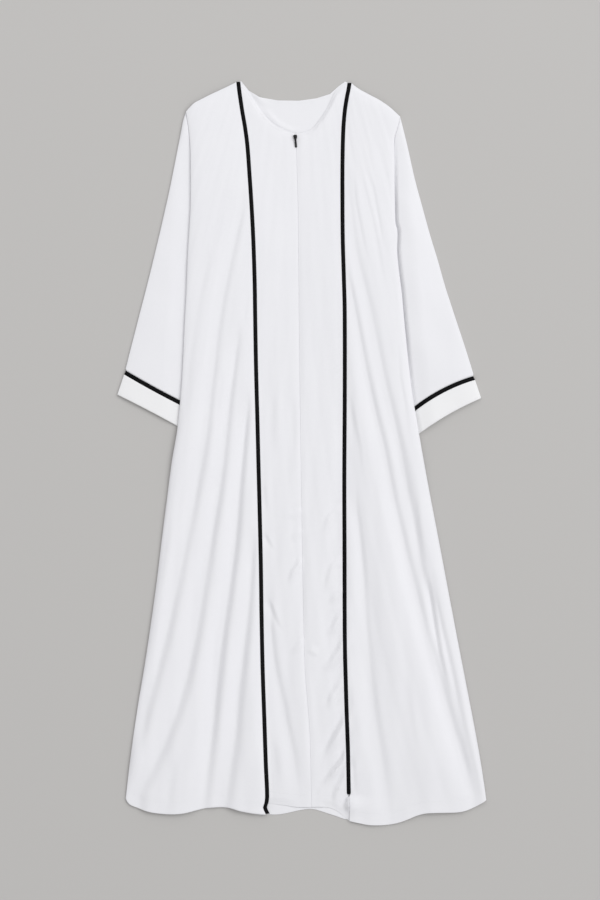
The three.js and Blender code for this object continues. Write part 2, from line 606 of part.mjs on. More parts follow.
function sleeve(left) {
  const line = (left ? CUFFS.left : CUFFS.right).piping;
  const armhole = left ? ARMHOLE_LEFT : ARMHOLE_RIGHT;
  const outerTable = left ? SLEEVE_OUTER_LEFT : SLEEVE_OUTER_RIGHT;
  const atCuff = (across) => crossLine(line, across, -PIPING_WIDTH / 2 - SEAM_GAP);
  const down = shares(SLEEVE_ROWS);
  const starts = alongCorners(armhole, [0, 1]);
  const ends = atCuff([0, 1]);
  const edges = starts.map((start, i) => down.map((v) => start.clone().lerp(ends[i], v)));
  edges[left ? 0 : 1].forEach((point, i) => {
    if (i > 0 && i < down.length - 1) {
      point.x = valueAt(outerTable, 'drop', 'x', point.y);
    }
  });
  const [outside, inside] = [TUBE_OUTSIDE, TUBE_INSIDE].map((across) => fillOutline({
    left: edges[0],
    right: edges[1],
    top: alongCorners(armhole, across),
    bottom: atCuff(across),
  }, across, down));
  return named(left ? 'sleeve_left' : 'sleeve_right', flatTube(outside, inside, sleeveOver(0)), cloth());
}

function cuffPiping(left) {
  const { piping: line } = left ? CUFFS.left : CUFFS.right;
  const upper = (across) => crossLine(line, across, -PIPING_WIDTH / 2);
  const lower = (across) => crossLine(line, across, PIPING_WIDTH / 2);
  const name = left ? 'piping_cuff_left' : 'piping_cuff_right';
  return named(name, bandBetween(upper, lower, BAND_RAISE), piping());
}

function cuff(left) {
  const { piping: line, edge } = left ? CUFFS.left : CUFFS.right;
  const upper = (across) => crossLine(line, across, PIPING_WIDTH / 2 + SEAM_GAP);
  const lower = (across) => crossLine(edge, across, 0);
  return named(left ? 'cuff_left' : 'cuff_right', bandBetween(upper, lower, BAND_RAISE), cloth());
}

// ---- Zip slider and pull, about the pull's hinge at the origin ----

const wasm = await Module();
wasm.setup();

function toManifold(geometry) {
  const plain = geometry.clone();
  plain.deleteAttribute('normal');
  plain.deleteAttribute('uv');
  const merged = mergeVertices(plain);
  return new wasm.Manifold(new wasm.Mesh({
    numProp: 3,
    vertProperties: new Float32Array(merged.attributes.position.array),
    triVerts: new Uint32Array(merged.index.array),
  }));
}

function join(a, b) {
  const { vertProperties, triVerts } = toManifold(a).add(toManifold(b)).getMesh();
  const geometry = new THREE.BufferGeometry();
  geometry.setAttribute('position', new THREE.Float32BufferAttribute(vertProperties, 3));
  geometry.setIndex(Array.from(triVerts));
  return geometry;
}

const outline = (rows) => new THREE.Shape(rows.map((row) => new THREE.Vector2(row.x, row.along)));

function extruded(shape, depth) {
  return new THREE.ExtrudeGeometry(shape, { depth, bevelEnabled: false });
}

function sliderSolid() {
  const body = extruded(outline(SLIDER_PLATE), SLIDER_THICKNESS);
  body.translate(0, 0, -HINGE_ABOVE_SLIDER - SLIDER_THICKNESS);
  // The bridge is an arch along the slider, seen from its side and given its width in X.
  const bridge = extruded(outline(BRIDGE_SIDE), BRIDGE_WIDTH);
  bridge.rotateX(Math.PI / 2);
  bridge.rotateZ(Math.PI / 2);
  bridge.translate(-BRIDGE_WIDTH / 2, 0, 0);
  return join(body, bridge);
}

function pullSolid() {
  const rightSide = columns(['x', 'along'], [
    [1.3, 0.3 - PULL_LENGTH], [2.1, 1.6 - PULL_LENGTH], [1.7, -6], [2.4, -4.6], [2.4, 0.6],
  ]);
  const leftSide = rightSide.map(({ x, along }) => ({ x: -x, along })).reverse();
  const tab = outline([...leftSide, { x: 0, along: -PULL_LENGTH }, ...rightSide]);
  tab.holes.push(outline(PULL_SLOT));
  const solid = extruded(tab, PULL_THICKNESS);
  solid.translate(0, 0, -PULL_THICKNESS / 2);
  return solid;
}

// The slider lies on the neck end of the centre front, and the pull's tip on the cloth.
function zip() {
  const onCloth = (x, drop) => frontOver(new THREE.Vector2(x, drop));
  const steps = [-SLIDER_REACH, 0, SLIDER_REACH];
  const heights = steps.flatMap((x) => steps.map((drop) => onCloth(ZIP_X + x, ZIP_DROP + drop)));
  const clothHeight = Math.max(...heights);
  const hingeHeight = clothHeight + SEAM_GAP + SLIDER_THICKNESS + HINGE_ABOVE_SLIDER;
  const tipX = ZIP_X + TIP_OFFSET;
  const tipHeight = onCloth(tipX, ZIP_DROP + PULL_LENGTH) + PULL_CLEARANCE + PULL_THICKNESS / 2;
  const zipGroup = new THREE.Group();
  const slider = named('zip_slider', sliderSolid(), metal());
  const pull = named('zip_pull', pullSolid(), metal());
  pull.rotation.x = Math.asin((hingeHeight - tipHeight) / PULL_LENGTH);
  zipGroup.add(slider, pull);
  zipGroup.position.set(ZIP_X - CENTRE_X, CENTRE_DROP - ZIP_DROP, hingeHeight);
  zipGroup.rotation.z = ZIP_TILT;
  return zipGroup;
}

// ---- The abaya ----

const group = new THREE.Group();
group.add(backPanel());
for (const left of [true, false]) {
  group.add(
    centrePanel(left),
    sidePanel(left),
    frontPiping(left),
    sleeve(left),
    cuffPiping(left),
    cuff(left),
  );
}
group.add(zip());

export default group;
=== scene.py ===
"""Looks of the white abaya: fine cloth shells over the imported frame, stitches, materials, light.

Plan points are (x, drop) in millimetres, as on a pattern: x from the garment's middle and drop
below the highest point of the shoulders. Heights are millimetres above the table. "Left" is -X.
"""
import math

import bpy
import numpy as np
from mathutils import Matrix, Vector


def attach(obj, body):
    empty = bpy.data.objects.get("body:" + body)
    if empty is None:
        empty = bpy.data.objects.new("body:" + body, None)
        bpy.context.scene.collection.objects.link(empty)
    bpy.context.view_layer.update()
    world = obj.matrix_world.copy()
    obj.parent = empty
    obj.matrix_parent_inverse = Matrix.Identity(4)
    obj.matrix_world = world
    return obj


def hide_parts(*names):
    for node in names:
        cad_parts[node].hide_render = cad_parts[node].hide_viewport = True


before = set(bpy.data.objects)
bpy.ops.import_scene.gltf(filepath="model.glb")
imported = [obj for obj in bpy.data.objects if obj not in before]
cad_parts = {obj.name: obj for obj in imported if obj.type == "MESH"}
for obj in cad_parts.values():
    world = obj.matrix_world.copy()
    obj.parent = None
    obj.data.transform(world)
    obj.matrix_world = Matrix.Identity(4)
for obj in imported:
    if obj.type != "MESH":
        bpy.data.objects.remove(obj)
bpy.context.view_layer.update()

BODY = "garment"

# ---- Sizes, in millimetres ----

GARMENT_LENGTH = 1418
CENTRE_X = 0.5
CENTRE_DROP = GARMENT_LENGTH / 2
CLOTH = 1.2
SEAM_GAP = 0.3
SEWN_GAP = 0.06  # how near two pieces lie that are sewn edge to edge
PIPING_WIDTH = 7.5
PIPING_CROWN = 1
SLEEVE_STACK = 2.8
BAND_RAISE = 0.5
BACK_OVER_SLEEVE = 3.6  # how much higher the back lies where a sleeve is under it
OVER_SLEEVE_MARGIN = 20
OVER_SLEEVE_RAMP = 120
SLEEVE_PUFF = {"left": 3, "right": 4.4}
SLEEVE_PUFF_REACH = 38
SLEEVE_CREASE = 7.5  # width of the steep part beside the body's edge
SHOULDER_JOIN = 3.2  # the sleeve's extra height at the shoulder, where it runs on from the body
SHOULDER_JOIN_START = 2  # it begins this far inside the body's edge
SHOULDER_JOIN_WIDTH = 3
SHOULDER_JOIN_DROP = 90
SHOULDER_JOIN_FADE = 60
SHOULDER_JOIN_ROLL = 10
EDGE_ROLL = 24
SHOULDER_ROLL = 26
NECK_ROLL = 34
NECK_LIE = 0.3
STRIPE_PULL = 0.25
STRIPE_PULL_WIDTH = 16
CENTRE_GROOVE = 0.3
CENTRE_GROOVE_WIDTH = 5
FOLD_FADE = 90
FOLD_SKEW = 0.4  # how much wider a fold's bank towards -X is, and narrower the other
CREASE_SKEW = 0.35  # the same for the small creases
CREASE_LIP = 0.22  # height of the lip on each side of a crease, as a share of its depth
LIP_PLACE = 2.1  # and how far out it lies, in the crease's half widths
CREASE_START = 0.3  # shares of a crease over which it fades in and out
CREASE_START_DEPTH = 0.15
CREASE_FINISH = 0.45
FAN_START = 400  # height above the shoulders from which the skirt's unevenness fans out
FAN_LENGTH = 1400
FAN_GROWS_FROM = 350  # the unevenness grows from its least to its most share below this
FAN_GROWS_OVER = 750
FAN_LEAST = 0.5
FAN_MOST = 2.2
STRIPE_END = 0.9635  # share of its seam at which the right stripe ends
STRIPE_CLOSED = 0.9655  # and at which the panels meet below it
LEFT_SEAM_END = 0.986  # share of the left seam at which the centre panel's hem begins
BACK_NECK_SHARES = (0.28, 0.7)  # the part of the back's top edge that is its neckline

EDGE_ROUND = 0.6  # cloth edges are rounded over this distance
THINNEST_EDGE = 0.2  # share of the thickness left at the very edge
LEAST_RISE = 0.15  # the front never comes closer to the back than this past its gap
HEM_TURN = 23  # the turned hem's stitches, above the edge
EDGE_STITCH = 4.5  # stitches inside the neckline and the cuffs' edges
THREAD = 0.55
STITCH_LENGTH = 2.9
STITCH_GAP = 0.9
STITCH_SIDES = 6
STITCH_STATIONS = np.array([0, 0.2, 0.5, 0.8, 1])  # shares along a stitch
STITCH_SWELL = np.array([0.35, 0.85, 1, 0.85, 0.35])  # and its thickness there
STITCH_SUNK = 0.2  # how far the thread's middle lies above the cloth, in half thicknesses
ROW_STEP = 4.2  # spacing of the fine mesh down the garment
COLUMN_STEP = 3.6
SLEEVE_ROWS = 110
SLEEVE_COLUMNS = 72
BAND_COLUMNS = 56
CUFF_ROWS = 18
CUFF_PIPING_ROWS = 7


# ---- Tables ----

def columns(names, rows):
    return dict(zip(names.split(), np.array(rows, float).T))


SIDE_EDGE = {
    "left": columns("drop x", [
        (59, -220), (75, -217.5), (94, -214.5), (132, -211.5), (190, -211), (240, -211.3),
        (285, -213.8), (342, -217), (400, -219.2), (456, -222), (515, -224.8),
        (571, -227.6), (610, -231), (667, -237), (725, -247), (800, -257), (870, -265.8),
        (950, -275.5), (1032, -286.8), (1112, -298.8), (1190, -311.8), (1255, -321.4),
        (1310, -328.6), (1367, -335)]),
    "right": columns("drop x", [
        (69, 188), (84, 184.5), (98, 180), (112, 176.5), (150, 177), (200, 177),
        (247, 178), (272, 179), (286, 182.5), (325, 182), (345, 183.5), (361, 185.3),
        (400, 190.3), (456, 195.5), (515, 201.3), (571, 207.5), (610, 213), (647, 219.5),
        (680, 225), (760, 239.3), (872, 260.8), (979, 281), (1085, 301.2), (1192, 322),
        (1246, 332.3), (1299, 341.6), (1345, 348.6), (1370, 352)]),
}
STRIPE = {
    "left": columns("drop x", [
        (2, -120.5), (22, -118.3), (36, -116.3), (62, -112.3), (88, -107.8), (122, -103.3),
        (180, -99), (236, -95.3), (303, -91.8), (380, -89.3), (465, -88), (550, -86.5),
        (640, -84.2), (730, -82), (820, -79.7), (920, -77.5), (1025, -76), (1120, -74),
        (1218, -70.7), (1300, -68), (1361, -65.5), (1376, -67), (1384, -69.5), (1396, -64.5)]),
    "right": columns("drop x", [
        (4, 91.5), (20, 88.8), (32, 86.3), (59, 82.2), (93, 79.5), (150, 78), (225, 77.8),
        (303, 78.4), (370, 80.3), (436, 82), (600, 82.2), (760, 81.4), (900, 81.8), (1065, 82.3),
        (1142, 84), (1210, 86), (1275, 88.3), (1361, 90), (1380, 91), (1410, 91)]),
}
CENTRE_SEAM = columns("drop x", [
    (99, -11), (227, -7), (417, -5), (610, -3), (800, 0), (990, 3), (1130, 7), (1190, 12),
    (1250, 16), (1384, 19)])
BACK_TOP = columns("share x drop", [
    (0, -220, 59), (0.02, -211, 49.5), (0.05, -200, 42.5), (0.08, -190, 36.3),
    (0.11, -178, 30.5), (0.14, -166, 25), (0.17, -154, 19.6), (0.2, -141, 13.6),
    (0.23, -129, 7.5), (0.26, -115, 0.5), (0.29, -100, 19), (0.34, -80, 31), (0.42, -45, 37.1),
    (0.5, -5, 37.6), (0.58, 28, 33.2), (0.64, 54, 25), (0.68, 70, 10.6), (0.72, 83, 1),
    (0.75, 95, 7.5), (0.79, 110, 17.9), (0.83, 124, 25), (0.87, 138, 32.2), (0.91, 152, 40),
    (0.94, 163, 47.4), (0.97, 175, 56.5), (1, 188, 69)])
SHOULDER = {
    "left": columns("x drop", [
        (-220, 59), (-206, 44.5), (-193, 37.3), (-174, 28), (-155, 19.6), (-136, 11),
        (-118, 2)]),
    "right": columns("x drop", [
        (92.5, 4), (101, 11.5), (112, 18.8), (131, 28.8), (150, 38.7), (169, 51.8),
        (188, 69)]),
}
FRONT_NECK = columns("x drop", [
    (-116, 4), (-100, 20), (-88, 38), (-76, 57), (-65, 72), (-50, 85), (-30, 95), (-11, 100),
    (3, 98.5), (20, 91), (34, 75), (50, 50), (60, 28), (72, 13), (87.7, 4)])
BACK_HEM = columns("x drop", [
    (-335, 1367), (-251, 1386), (-165, 1374), (-90, 1394), (-55, 1398), (-40, 1397.3),
    (-24, 1394.3), (-9, 1390.9), (8, 1388), (22, 1387.8), (36, 1391.3), (51, 1396.2),
    (66, 1401), (84, 1407), (112, 1407), (188, 1401), (245, 1386), (302, 1384), (352, 1370)])
FRONT_HEM = {
    "left": columns("x drop", [
        (-335, 1367), (-329, 1377.2), (-314, 1384), (-294, 1391), (-270, 1395.3),
        (-246, 1396.5), (-223, 1394.7), (-200, 1389.5), (-180, 1385.3), (-155, 1383.7),
        (-135, 1385.2), (-116, 1390.8), (-95, 1395), (-69, 1398)]),
    "centre": columns("x drop", [
        (-66, 1376), (-33, 1380), (-10, 1383), (41, 1383), (64, 1389), (91, 1410)]),
    "right": columns("x drop", [
        (91, 1410), (104, 1412.8), (125, 1417), (142, 1418), (160, 1417.4), (176, 1415.3),
        (190, 1411.5), (204, 1405.9), (219, 1399.5), (235, 1395.2), (252, 1393.9),
        (280, 1393.6), (297, 1393), (312, 1390.3), (326, 1385), (341, 1377), (352, 1370)]),
}
CREST = columns("drop side centre", [
    (0, 3, 2.5), (150, 3.5, 3), (400, 5, 3.5), (700, 8, 4), (1000, 11, 5), (1200, 12, 5.5),
    (1300, 11.3, 4.5), (1384, 6.5, 0.8), (1420, 5, 0.5)])
# How steeply a sleeve rises out of the crease beside the body's edge, in millimetres.
SLEEVE_BANK = {
    "left": columns("drop height", [(60, 0.2), (660, 0.3)]),
    "right": columns("drop height", [
        (100, 0.3), (150, 1.8), (200, 4.4), (240, 7), (350, 7.2), (490, 7.4), (540, 4),
        (600, 1.8), (660, 2.6)]),
}


def fold(depth, width_top, width_end, path):
    """A large trough: depth is the share of the rise that is lost."""
    return depth, width_top, width_end, columns("drop x", path)


FOLDS = {
    "left": [
        fold(0.65, 10, 20, [
            (235, -110), (320, -130), (430, -152), (560, -169), (680, -183), (820, -208),
            (950, -235), (1070, -262), (1190, -293), (1260, -308)]),
        fold(0.75, 10, 22, [
            (490, -121), (600, -136), (730, -150), (880, -173), (1000, -192), (1100, -211),
            (1190, -235), (1270, -266), (1360, -310)]),
        fold(0.9, 10, 18, [
            (620, -103), (760, -116), (900, -129), (1000, -142), (1120, -158), (1230, -169),
            (1380, -186)]),
        fold(0.75, 11, 20, [(880, -92), (1020, -103), (1160, -119), (1270, -130), (1390, -148)]),
        fold(0.35, 12, 14, [(340, -180), (470, -205), (600, -222)]),
    ],
    "right": [
        fold(0.72, 10, 18, [
            (370, 89), (450, 104), (590, 131), (700, 157), (810, 179), (930, 207), (1050, 238),
            (1160, 269), (1270, 300), (1360, 327)]),
        fold(0.6, 12, 17, [
            (200, 86), (340, 107), (430, 129), (580, 160), (710, 189), (830, 210), (940, 230),
            (1060, 250)]),
        fold(0.5, 12, 95, [(620, 91), (800, 103), (1000, 120), (1200, 144), (1400, 172)]),
        fold(0.6, 8, 17, [(800, 103), (900, 114), (1090, 127), (1260, 147), (1410, 169)]),
        fold(0.4, 9, 12, [(960, 247), (1100, 280), (1240, 310), (1360, 338)]),
    ],
    "centre": [
        fold(0.75, 10, 17, [(1000, -60), (1100, -53), (1200, -34), (1290, -16), (1390, -2)]),
        fold(0.5, 9, 9, [(1190, 92), (1250, 55), (1300, 34)]),
        fold(0.5, 8, 8, [(1280, 84), (1320, 48), (1350, 28)]),
    ],
}

# Small creases: depth (negative is a ridge), half width, and a path of (x, drop).
CREASES = [
    # right chest: fine drag lines from the stripe towards the armhole
    (0.8, 5, [(108, 150), (120, 205), (134, 262), (148, 330), (158, 400)]),
    (0.7, 4, [(122, 165), (136, 205), (148, 270), (156, 335)]),
    (0.8, 5, [(97, 175), (104, 240), (118, 310), (128, 360)]),
    (0.5, 8, [(150, 120), (160, 170), (166, 215)]),
    (0.6, 8, [(168, 350), (178, 420), (186, 475)]),
    (0.9, 5, [(182, 500), (188, 570), (197, 620), (205, 690)]),
    (0.9, 5, [(92, 600), (100, 650), (110, 700), (114, 760)]),
    # right skirt: the sharp crease beside the deepest fold, and shallow ones by the edge
    (5.0, 5, [(237, 935), (247, 990), (255, 1042), (263, 1090), (275, 1141), (287, 1190)]),
    (1.2, 6, [(214, 780), (221, 850), (231, 925)]),
    (1.2, 5, [(300, 1235), (312, 1290), (326, 1345)]),
    (0.9, 9, [(196, 1120), (204, 1190), (212, 1260), (218, 1330)]),
    (1.2, 4, [(97, 1285), (100, 1330), (104, 1370)]),
    # left side: shallow folds between the large ones
    (0.7, 7, [(-150, 545), (-158, 610), (-164, 660)]),
    (1.0, 10, [(-126, 660), (-134, 790), (-152, 950), (-174, 1130), (-200, 1300), (-214, 1385)]),
    (1.0, 8, [(-246, 770), (-262, 900), (-284, 1060), (-306, 1220)]),
    (0.6, 5, [(-100, 395), (-107, 440), (-112, 480)]),
    (1.4, 9, [(-240, 1290), (-250, 1350), (-258, 1392)]),
    # centre panels: vertical shallows above, diagonal drags below, those on the right as ridges
    (1.1, 9, [(-56, 585), (-56, 660), (-54, 735)]),
    (0.9, 8, [(-17, 600), (-15, 660), (-13, 725)]),
    (1.2, 7, [(-74, 765), (-71, 800), (-67, 830)]),
    (1.4, 5, [(-73, 862), (-64, 879), (-54, 896)]),
    (-1.4, 6, [(2, 815), (-12, 824), (-28, 832)]),
    (-1.6, 6, [(2, 853), (-10, 862), (-22, 876)]),
    (-3.2, 5.1, [(1, 906), (-8, 923), (-18, 941), (-27, 959)]),
    (1.8, 5, [(-66, 985), (-55, 1012), (-45, 1037), (-37, 1052)]),
    (-1.8, 5.1, [(4, 1062), (-8, 1078), (-22, 1090)]),
    (-1.3, 5.1, [(12, 1083), (24, 1089), (35, 1092)]),
    (-2.6, 6.8, [(82, 807), (66, 818), (52, 835), (44, 865)]),
    (-2.6, 6.8, [(80, 903), (60, 923), (52, 948), (46, 981)]),
    (-2.6, 6, [(82, 963), (66, 978), (50, 995)]),
    (-3.2, 6, [(82, 1009), (70, 1023), (60, 1043), (44, 1056)]),
    (-4.5, 6.8, [(83, 1061), (70, 1088), (56, 1108), (38, 1125)]),
    (-3.8, 6.8, [(84, 1139), (70, 1153), (58, 1173), (50, 1199)]),
    (-1.9, 4.2, [(85, 1163), (74, 1175), (64, 1189)]),
    (-5.1, 7.6, [(86, 1205), (78, 1228), (64, 1253), (46, 1285)]),
    (-5.1, 6, [(88, 1263), (80, 1293), (66, 1311), (50, 1328), (38, 1347)]),
    (-4.2, 7.6, [(90, 1301), (78, 1333), (66, 1358), (62, 1386)]),
    (1, 9, [(-56, 1255), (-50, 1300), (-46, 1345)]),
    # the neckline, which stands off the back at the right
    (-2.6, 9, [(70, 12), (62, 24), (52, 46), (36, 73), (20, 90), (2, 98)]),
]

# Ridges of the back panel inside the neck opening, laid out in the same way.
BACK_RIDGES = [
    (1.6, 5, [(-72, 50), (-64, 59), (-54, 71), (-41, 83), (-28, 90), (-14, 94), (0, 92), (14, 85)]),
    (2.4, 6, [(-98, 10), (-90, 22), (-80, 34), (-70, 40), (-54, 42)]),
]

# Slow waves of the front: height, length across and down the garment, and phase.
UNEVEN_WAVES = [
    (0.25, 71, 540, 0.3), (0.18, 43, -380, 1.9), (0.08, 29, 230, 4.1), (0.04, 19, -150, 2.6)]

# How flat the front's neckline and hem are pressed at the very edge: 0 not at all, 1 fully.
NECK_PRESSED = columns("x share", [
    (-120, 1), (-80, 1), (-70, 0.1), (-40, 0.1), (-25, 0.8), (0, 0.9), (92, 0.9)])
HEM_PRESSED = columns("x share", [
    (-70, 1), (-22, 0.9), (-6, 0), (33, 0), (46, 0.9), (95, 1)])
NECK_PRESS_REACH = 8
HEM_PRESS_REACH = 14
LEFT_OF_EDGE = 0.1  # share of the rise that is left where it is pressed
LEAST_PRESSED = 0.3  # share of the thickness that is always left

# The tuck under the end of the right stripe: how high the centre and the side panel stand
# beside their seam, and the width of the centre panel's bank.
TUCK = columns("drop centre side bank", [
    (1361, 0, 0, 4), (1366, 3, 1.8, 4), (1373, 8, 4.2, 8), (1381, 9.5, 5, 12),
    (1386, 6.5, 4.6, 12), (1391, 1.2, 3.2, 11), (1400, 0, 1.2, 10), (1412, 0, 0.4, 10)])
TUCK_REACH = 32

SLEEVE_OUTER = {
    "left": columns("drop x", [
        (59, -220), (75, -225.5), (93, -229), (125, -235.2), (150, -240), (205, -251),
        (232, -257), (285, -269), (338, -281.7), (392, -295), (445, -308.8), (498, -322.3),
        (525, -329.3), (550, -335.6), (597, -351)]),
    "right": columns("drop x", [
        (69, 188), (93, 194.3), (125, 202), (178, 213.8), (205, 220.6), (232, 228),
        (285, 242.5), (312, 250.5), (338, 258.5), (392, 273.8), (418, 282.2), (445, 291),
        (472, 300), (498, 308.6), (525, 317.2), (562, 328.5), (606.3, 341)]),
}
ARMHOLE = {
    "left": [(-220, 59), (-202, 131), (-175, 208), (-117, 322)],
    "right": [(87, 335), (149, 215), (165, 138), (188, 69)],
}
# Lines across a sleeve: start, end, and how far the middle rises towards the shoulder.
CUFF_PIPING = {
    "left": ((-336.1, 555.9), (-226, 616), -1.2),
    "right": ((214, 626), (328.8, 566.2), 6.2),
}
CUFF_EDGE = {
    "left": ((-351, 598), (-232, 660.2), 1),
    "right": ((223, 673), (342.5, 604.8), 4.3),
}
# Where a sleeve's upper part lies under the body.
SLEEVE_ZONES = [
    [(-262, 50), (-217, 56), (-202, 131), (-175, 208), (-117, 322), (-219, 610), (-226, 666),
     (-262, 666)],
    [(230, 60), (186, 66), (165, 138), (149, 215), (87, 335), (206, 625), (217, 680), (250, 680)],
]


# ---- Curves and outlines ----

def smooth(t):
    t = np.clip(t, 0, 1)
    return t * t * (3 - 2 * t)


def round_off(t):
    return np.sqrt(1 - (1 - np.clip(t, 0, 1)) ** 2)


def mix(a, b, t):
    return a + (b - a) * t


def value_at(table, by, wanted, at):
    """One column of a table where another has a given value, on a smooth curve."""
    xs, ys = table[by], table[wanted]
    at = np.clip(at, xs[0], xs[-1])
    slopes = np.empty_like(xs)
    slopes[1:-1] = (ys[2:] - ys[:-2]) / (xs[2:] - xs[:-2])
    slopes[0] = (ys[1] - ys[0]) / (xs[1] - xs[0])
    slopes[-1] = (ys[-1] - ys[-2]) / (xs[-1] - xs[-2])
    k = np.clip(np.searchsorted(xs, at) - 1, 0, len(xs) - 2)
    span = xs[k + 1] - xs[k]
    t = (at - xs[k]) / span
    start = ys[k] * (1 + 2 * t) + slopes[k] * span * t
    end = ys[k + 1] * (3 - 2 * t) - slopes[k + 1] * span * (1 - t)
    return start * (1 - t) ** 2 + end * t ** 2


def down_edge(table, shares, shift=0.0):
    drop = mix(table["drop"][0], table["drop"][-1], shares)
    return np.stack([value_at(table, "drop", "x", drop) + shift, drop], -1)


def across_edge(table, shares, from_x, to_x):
    x = mix(from_x, to_x, shares)
    return np.stack([x, value_at(table, "x", "drop", x)], -1)


def fill_outline(left, right, top, bottom, across, down):
    """Points that fill a four-sided outline: rows run from its left edge to its right edge."""
    u = across[None, :, None]
    v = down[:, None, None]
    between = mix(left[:, None], right[:, None], u) + mix(top[None], bottom[None], v)
    corners = mix(mix(left[0], right[0], u), mix(left[-1], right[-1], u), v)
    return between - corners


def distance_to_path(points, path):
    """Distance of each point to a polyline, the share of the way along it, and whether the
    point lies on its right side, looking along it."""
    path = np.array(path, float)
    lengths = np.linalg.norm(np.diff(path, axis=0), axis=1)
    starts = np.concatenate([[0], np.cumsum(lengths)])
    nearest = np.full(points.shape[:-1], np.inf)
    along = np.zeros(points.shape[:-1])
    right = np.zeros(points.shape[:-1], bool)
    for start, end, length, before in zip(path[:-1], path[1:], lengths, starts):
        direction = (end - start) / length
        share = np.clip(((points - start) @ direction) / length, 0, 1)
        distance = np.linalg.norm(points - (start + share[..., None] * (end - start)), axis=-1)
        closer = distance < nearest
        nearest = np.where(closer, distance, nearest)
        along = np.where(closer, (before + share * length) / starts[-1], along)
        across = (points - start) @ np.array([direction[1], -direction[0]])
        right = np.where(closer, across > 0, right)
    return nearest, along, right


def distance_outside(points, outline):
    """Distance of each point to a closed outline, nought inside it."""
    corners = np.array(outline, float)
    nearest, _, _ = distance_to_path(points, np.vstack([corners, corners[:1]]))
    inside = np.zeros(points.shape[:-1], bool)
    x, drop = points[..., 0], points[..., 1]
    for (x0, y0), (x1, y1) in zip(corners, np.roll(corners, -1, 0)):
        if y0 == y1:
            continue
        crosses = (y0 > drop) != (y1 > drop)
        inside ^= crosses & (x < x0 + (drop - y0) * (x1 - x0) / (y1 - y0))
    return np.where(inside, 0, nearest)


# ---- Heights of the cloth ----

def by_side(points, left_value, right_value):
    seam = value_at(CENTRE_SEAM, "drop", "x", points[..., 1])
    return np.where(points[..., 0] < seam, left_value, right_value)


def back_under(points):
    distance = np.minimum(*[distance_outside(points, zone) for zone in SLEEVE_ZONES])
    lifted = BACK_OVER_SLEEVE * (1 - smooth((distance - OVER_SLEEVE_MARGIN) / OVER_SLEEVE_RAMP))
    return lifted + np.maximum(path_heights(points, BACK_RIDGES), 0)


def fold_share(points, folds):
    x, drop = points[..., 0], points[..., 1]
    share = np.ones_like(x)
    for depth, width_top, width_end, path in folds:
        start, end = path["drop"][0], path["drop"][-1]
        width = mix(width_top, width_end, np.clip((drop - start) / (end - start), 0, 1))
        offset = x - value_at(path, "drop", "x", drop)
        reach = width * np.where(offset < 0, 1 + FOLD_SKEW, 1 - FOLD_SKEW)
        begins = smooth((drop - start + FOLD_FADE / 2) / FOLD_FADE)
        at_hem = end > GARMENT_LENGTH - FOLD_FADE
        stops = 1 if at_hem else smooth((end + FOLD_FADE / 2 - drop) / FOLD_FADE)
        share = share * (1 - depth * begins * stops * np.exp(-((offset / reach) ** 2)))
    return share


def main_rise(points):
    """Rise of the front's underside above the back panel, from the large folds."""
    x, drop = points[..., 0], points[..., 1]
    outward = by_side(points, -1, 1)
    stripe = by_side(points, *[value_at(STRIPE[s], "drop", "x", drop) for s in ("left", "right")])
    edge = by_side(points, *[value_at(SIDE_EDGE[s], "drop", "x", drop) for s in ("left", "right")])
    shoulder = by_side(points, *[value_at(SHOULDER[s], "x", "drop", x) for s in ("left", "right")])
    past_stripe = outward * (x - stripe)
    inside_edge = outward * (edge - x)
    below_neck = drop - value_at(FRONT_NECK, "x", "drop", x)
    past_centre = x - value_at(CENTRE_SEAM, "drop", "x", drop)
    crest = mix(value_at(CREST, "drop", "centre", drop), value_at(CREST, "drop", "side", drop),
                smooth(past_stripe / EDGE_ROLL + 0.5))
    at_ends = mix(mix(NECK_LIE, 1, round_off(below_neck / NECK_ROLL)),
                  round_off((drop - shoulder) / SHOULDER_ROLL),
                  smooth(past_stripe / PIPING_WIDTH + 0.5))
    held = 1 - STRIPE_PULL * np.exp(-((past_stripe / STRIPE_PULL_WIDTH) ** 2))
    grooved = 1 - CENTRE_GROOVE * np.exp(-((past_centre / CENTRE_GROOVE_WIDTH) ** 2))
    folded = by_side(points, *[fold_share(points, FOLDS[s]) for s in ("left", "right")])
    folded = folded * fold_share(points, FOLDS["centre"])
    return crest * round_off(inside_edge / EDGE_ROLL) * at_ends * held * grooved * folded


def path_heights(points, rows):
    """Soft ridges along paths, with a low lip on each side, that fade at their ends. A positive
    one is steeper towards +X and a negative one towards -X."""
    total = np.zeros(points.shape[:-1])
    for depth, width, path in rows:
        reach = 5 * width
        low, high = np.min(path, axis=0) - reach, np.max(path, axis=0) + reach
        near = np.all((points > low) & (points < high), axis=-1)
        if not near.any():
            continue
        distance, along, right = distance_to_path(points[near], path)
        steep_on_right = (path[-1][1] >= path[0][1]) == (depth > 0)
        half = width * np.where(right == steep_on_right, 1 - CREASE_SKEW, 1 + CREASE_SKEW)
        starts = smooth(along / CREASE_START + CREASE_START_DEPTH)
        fade = starts * smooth((1 - along) / CREASE_FINISH)
        trough = np.exp(-((distance / half) ** 2))
        lips = CREASE_LIP * np.exp(-(((distance - LIP_PLACE * half) / half) ** 2))
        total[near] += depth * fade * (trough - lips)
    return total


def wander(points):
    """Slow unevenness of cloth that was smoothed by hand: it fans out down the skirt."""
    x, drop = points[..., 0], points[..., 1]
    fanned = x * FAN_LENGTH / (drop + FAN_START)
    uneven = sum(size * np.sin(2 * math.pi * (fanned / across + drop / down) + phase)
                 for size, across, down, phase in UNEVEN_WAVES)
    grown = smooth((drop - FAN_GROWS_FROM) / FAN_GROWS_OVER)
    return uneven * mix(FAN_LEAST, FAN_MOST, grown)


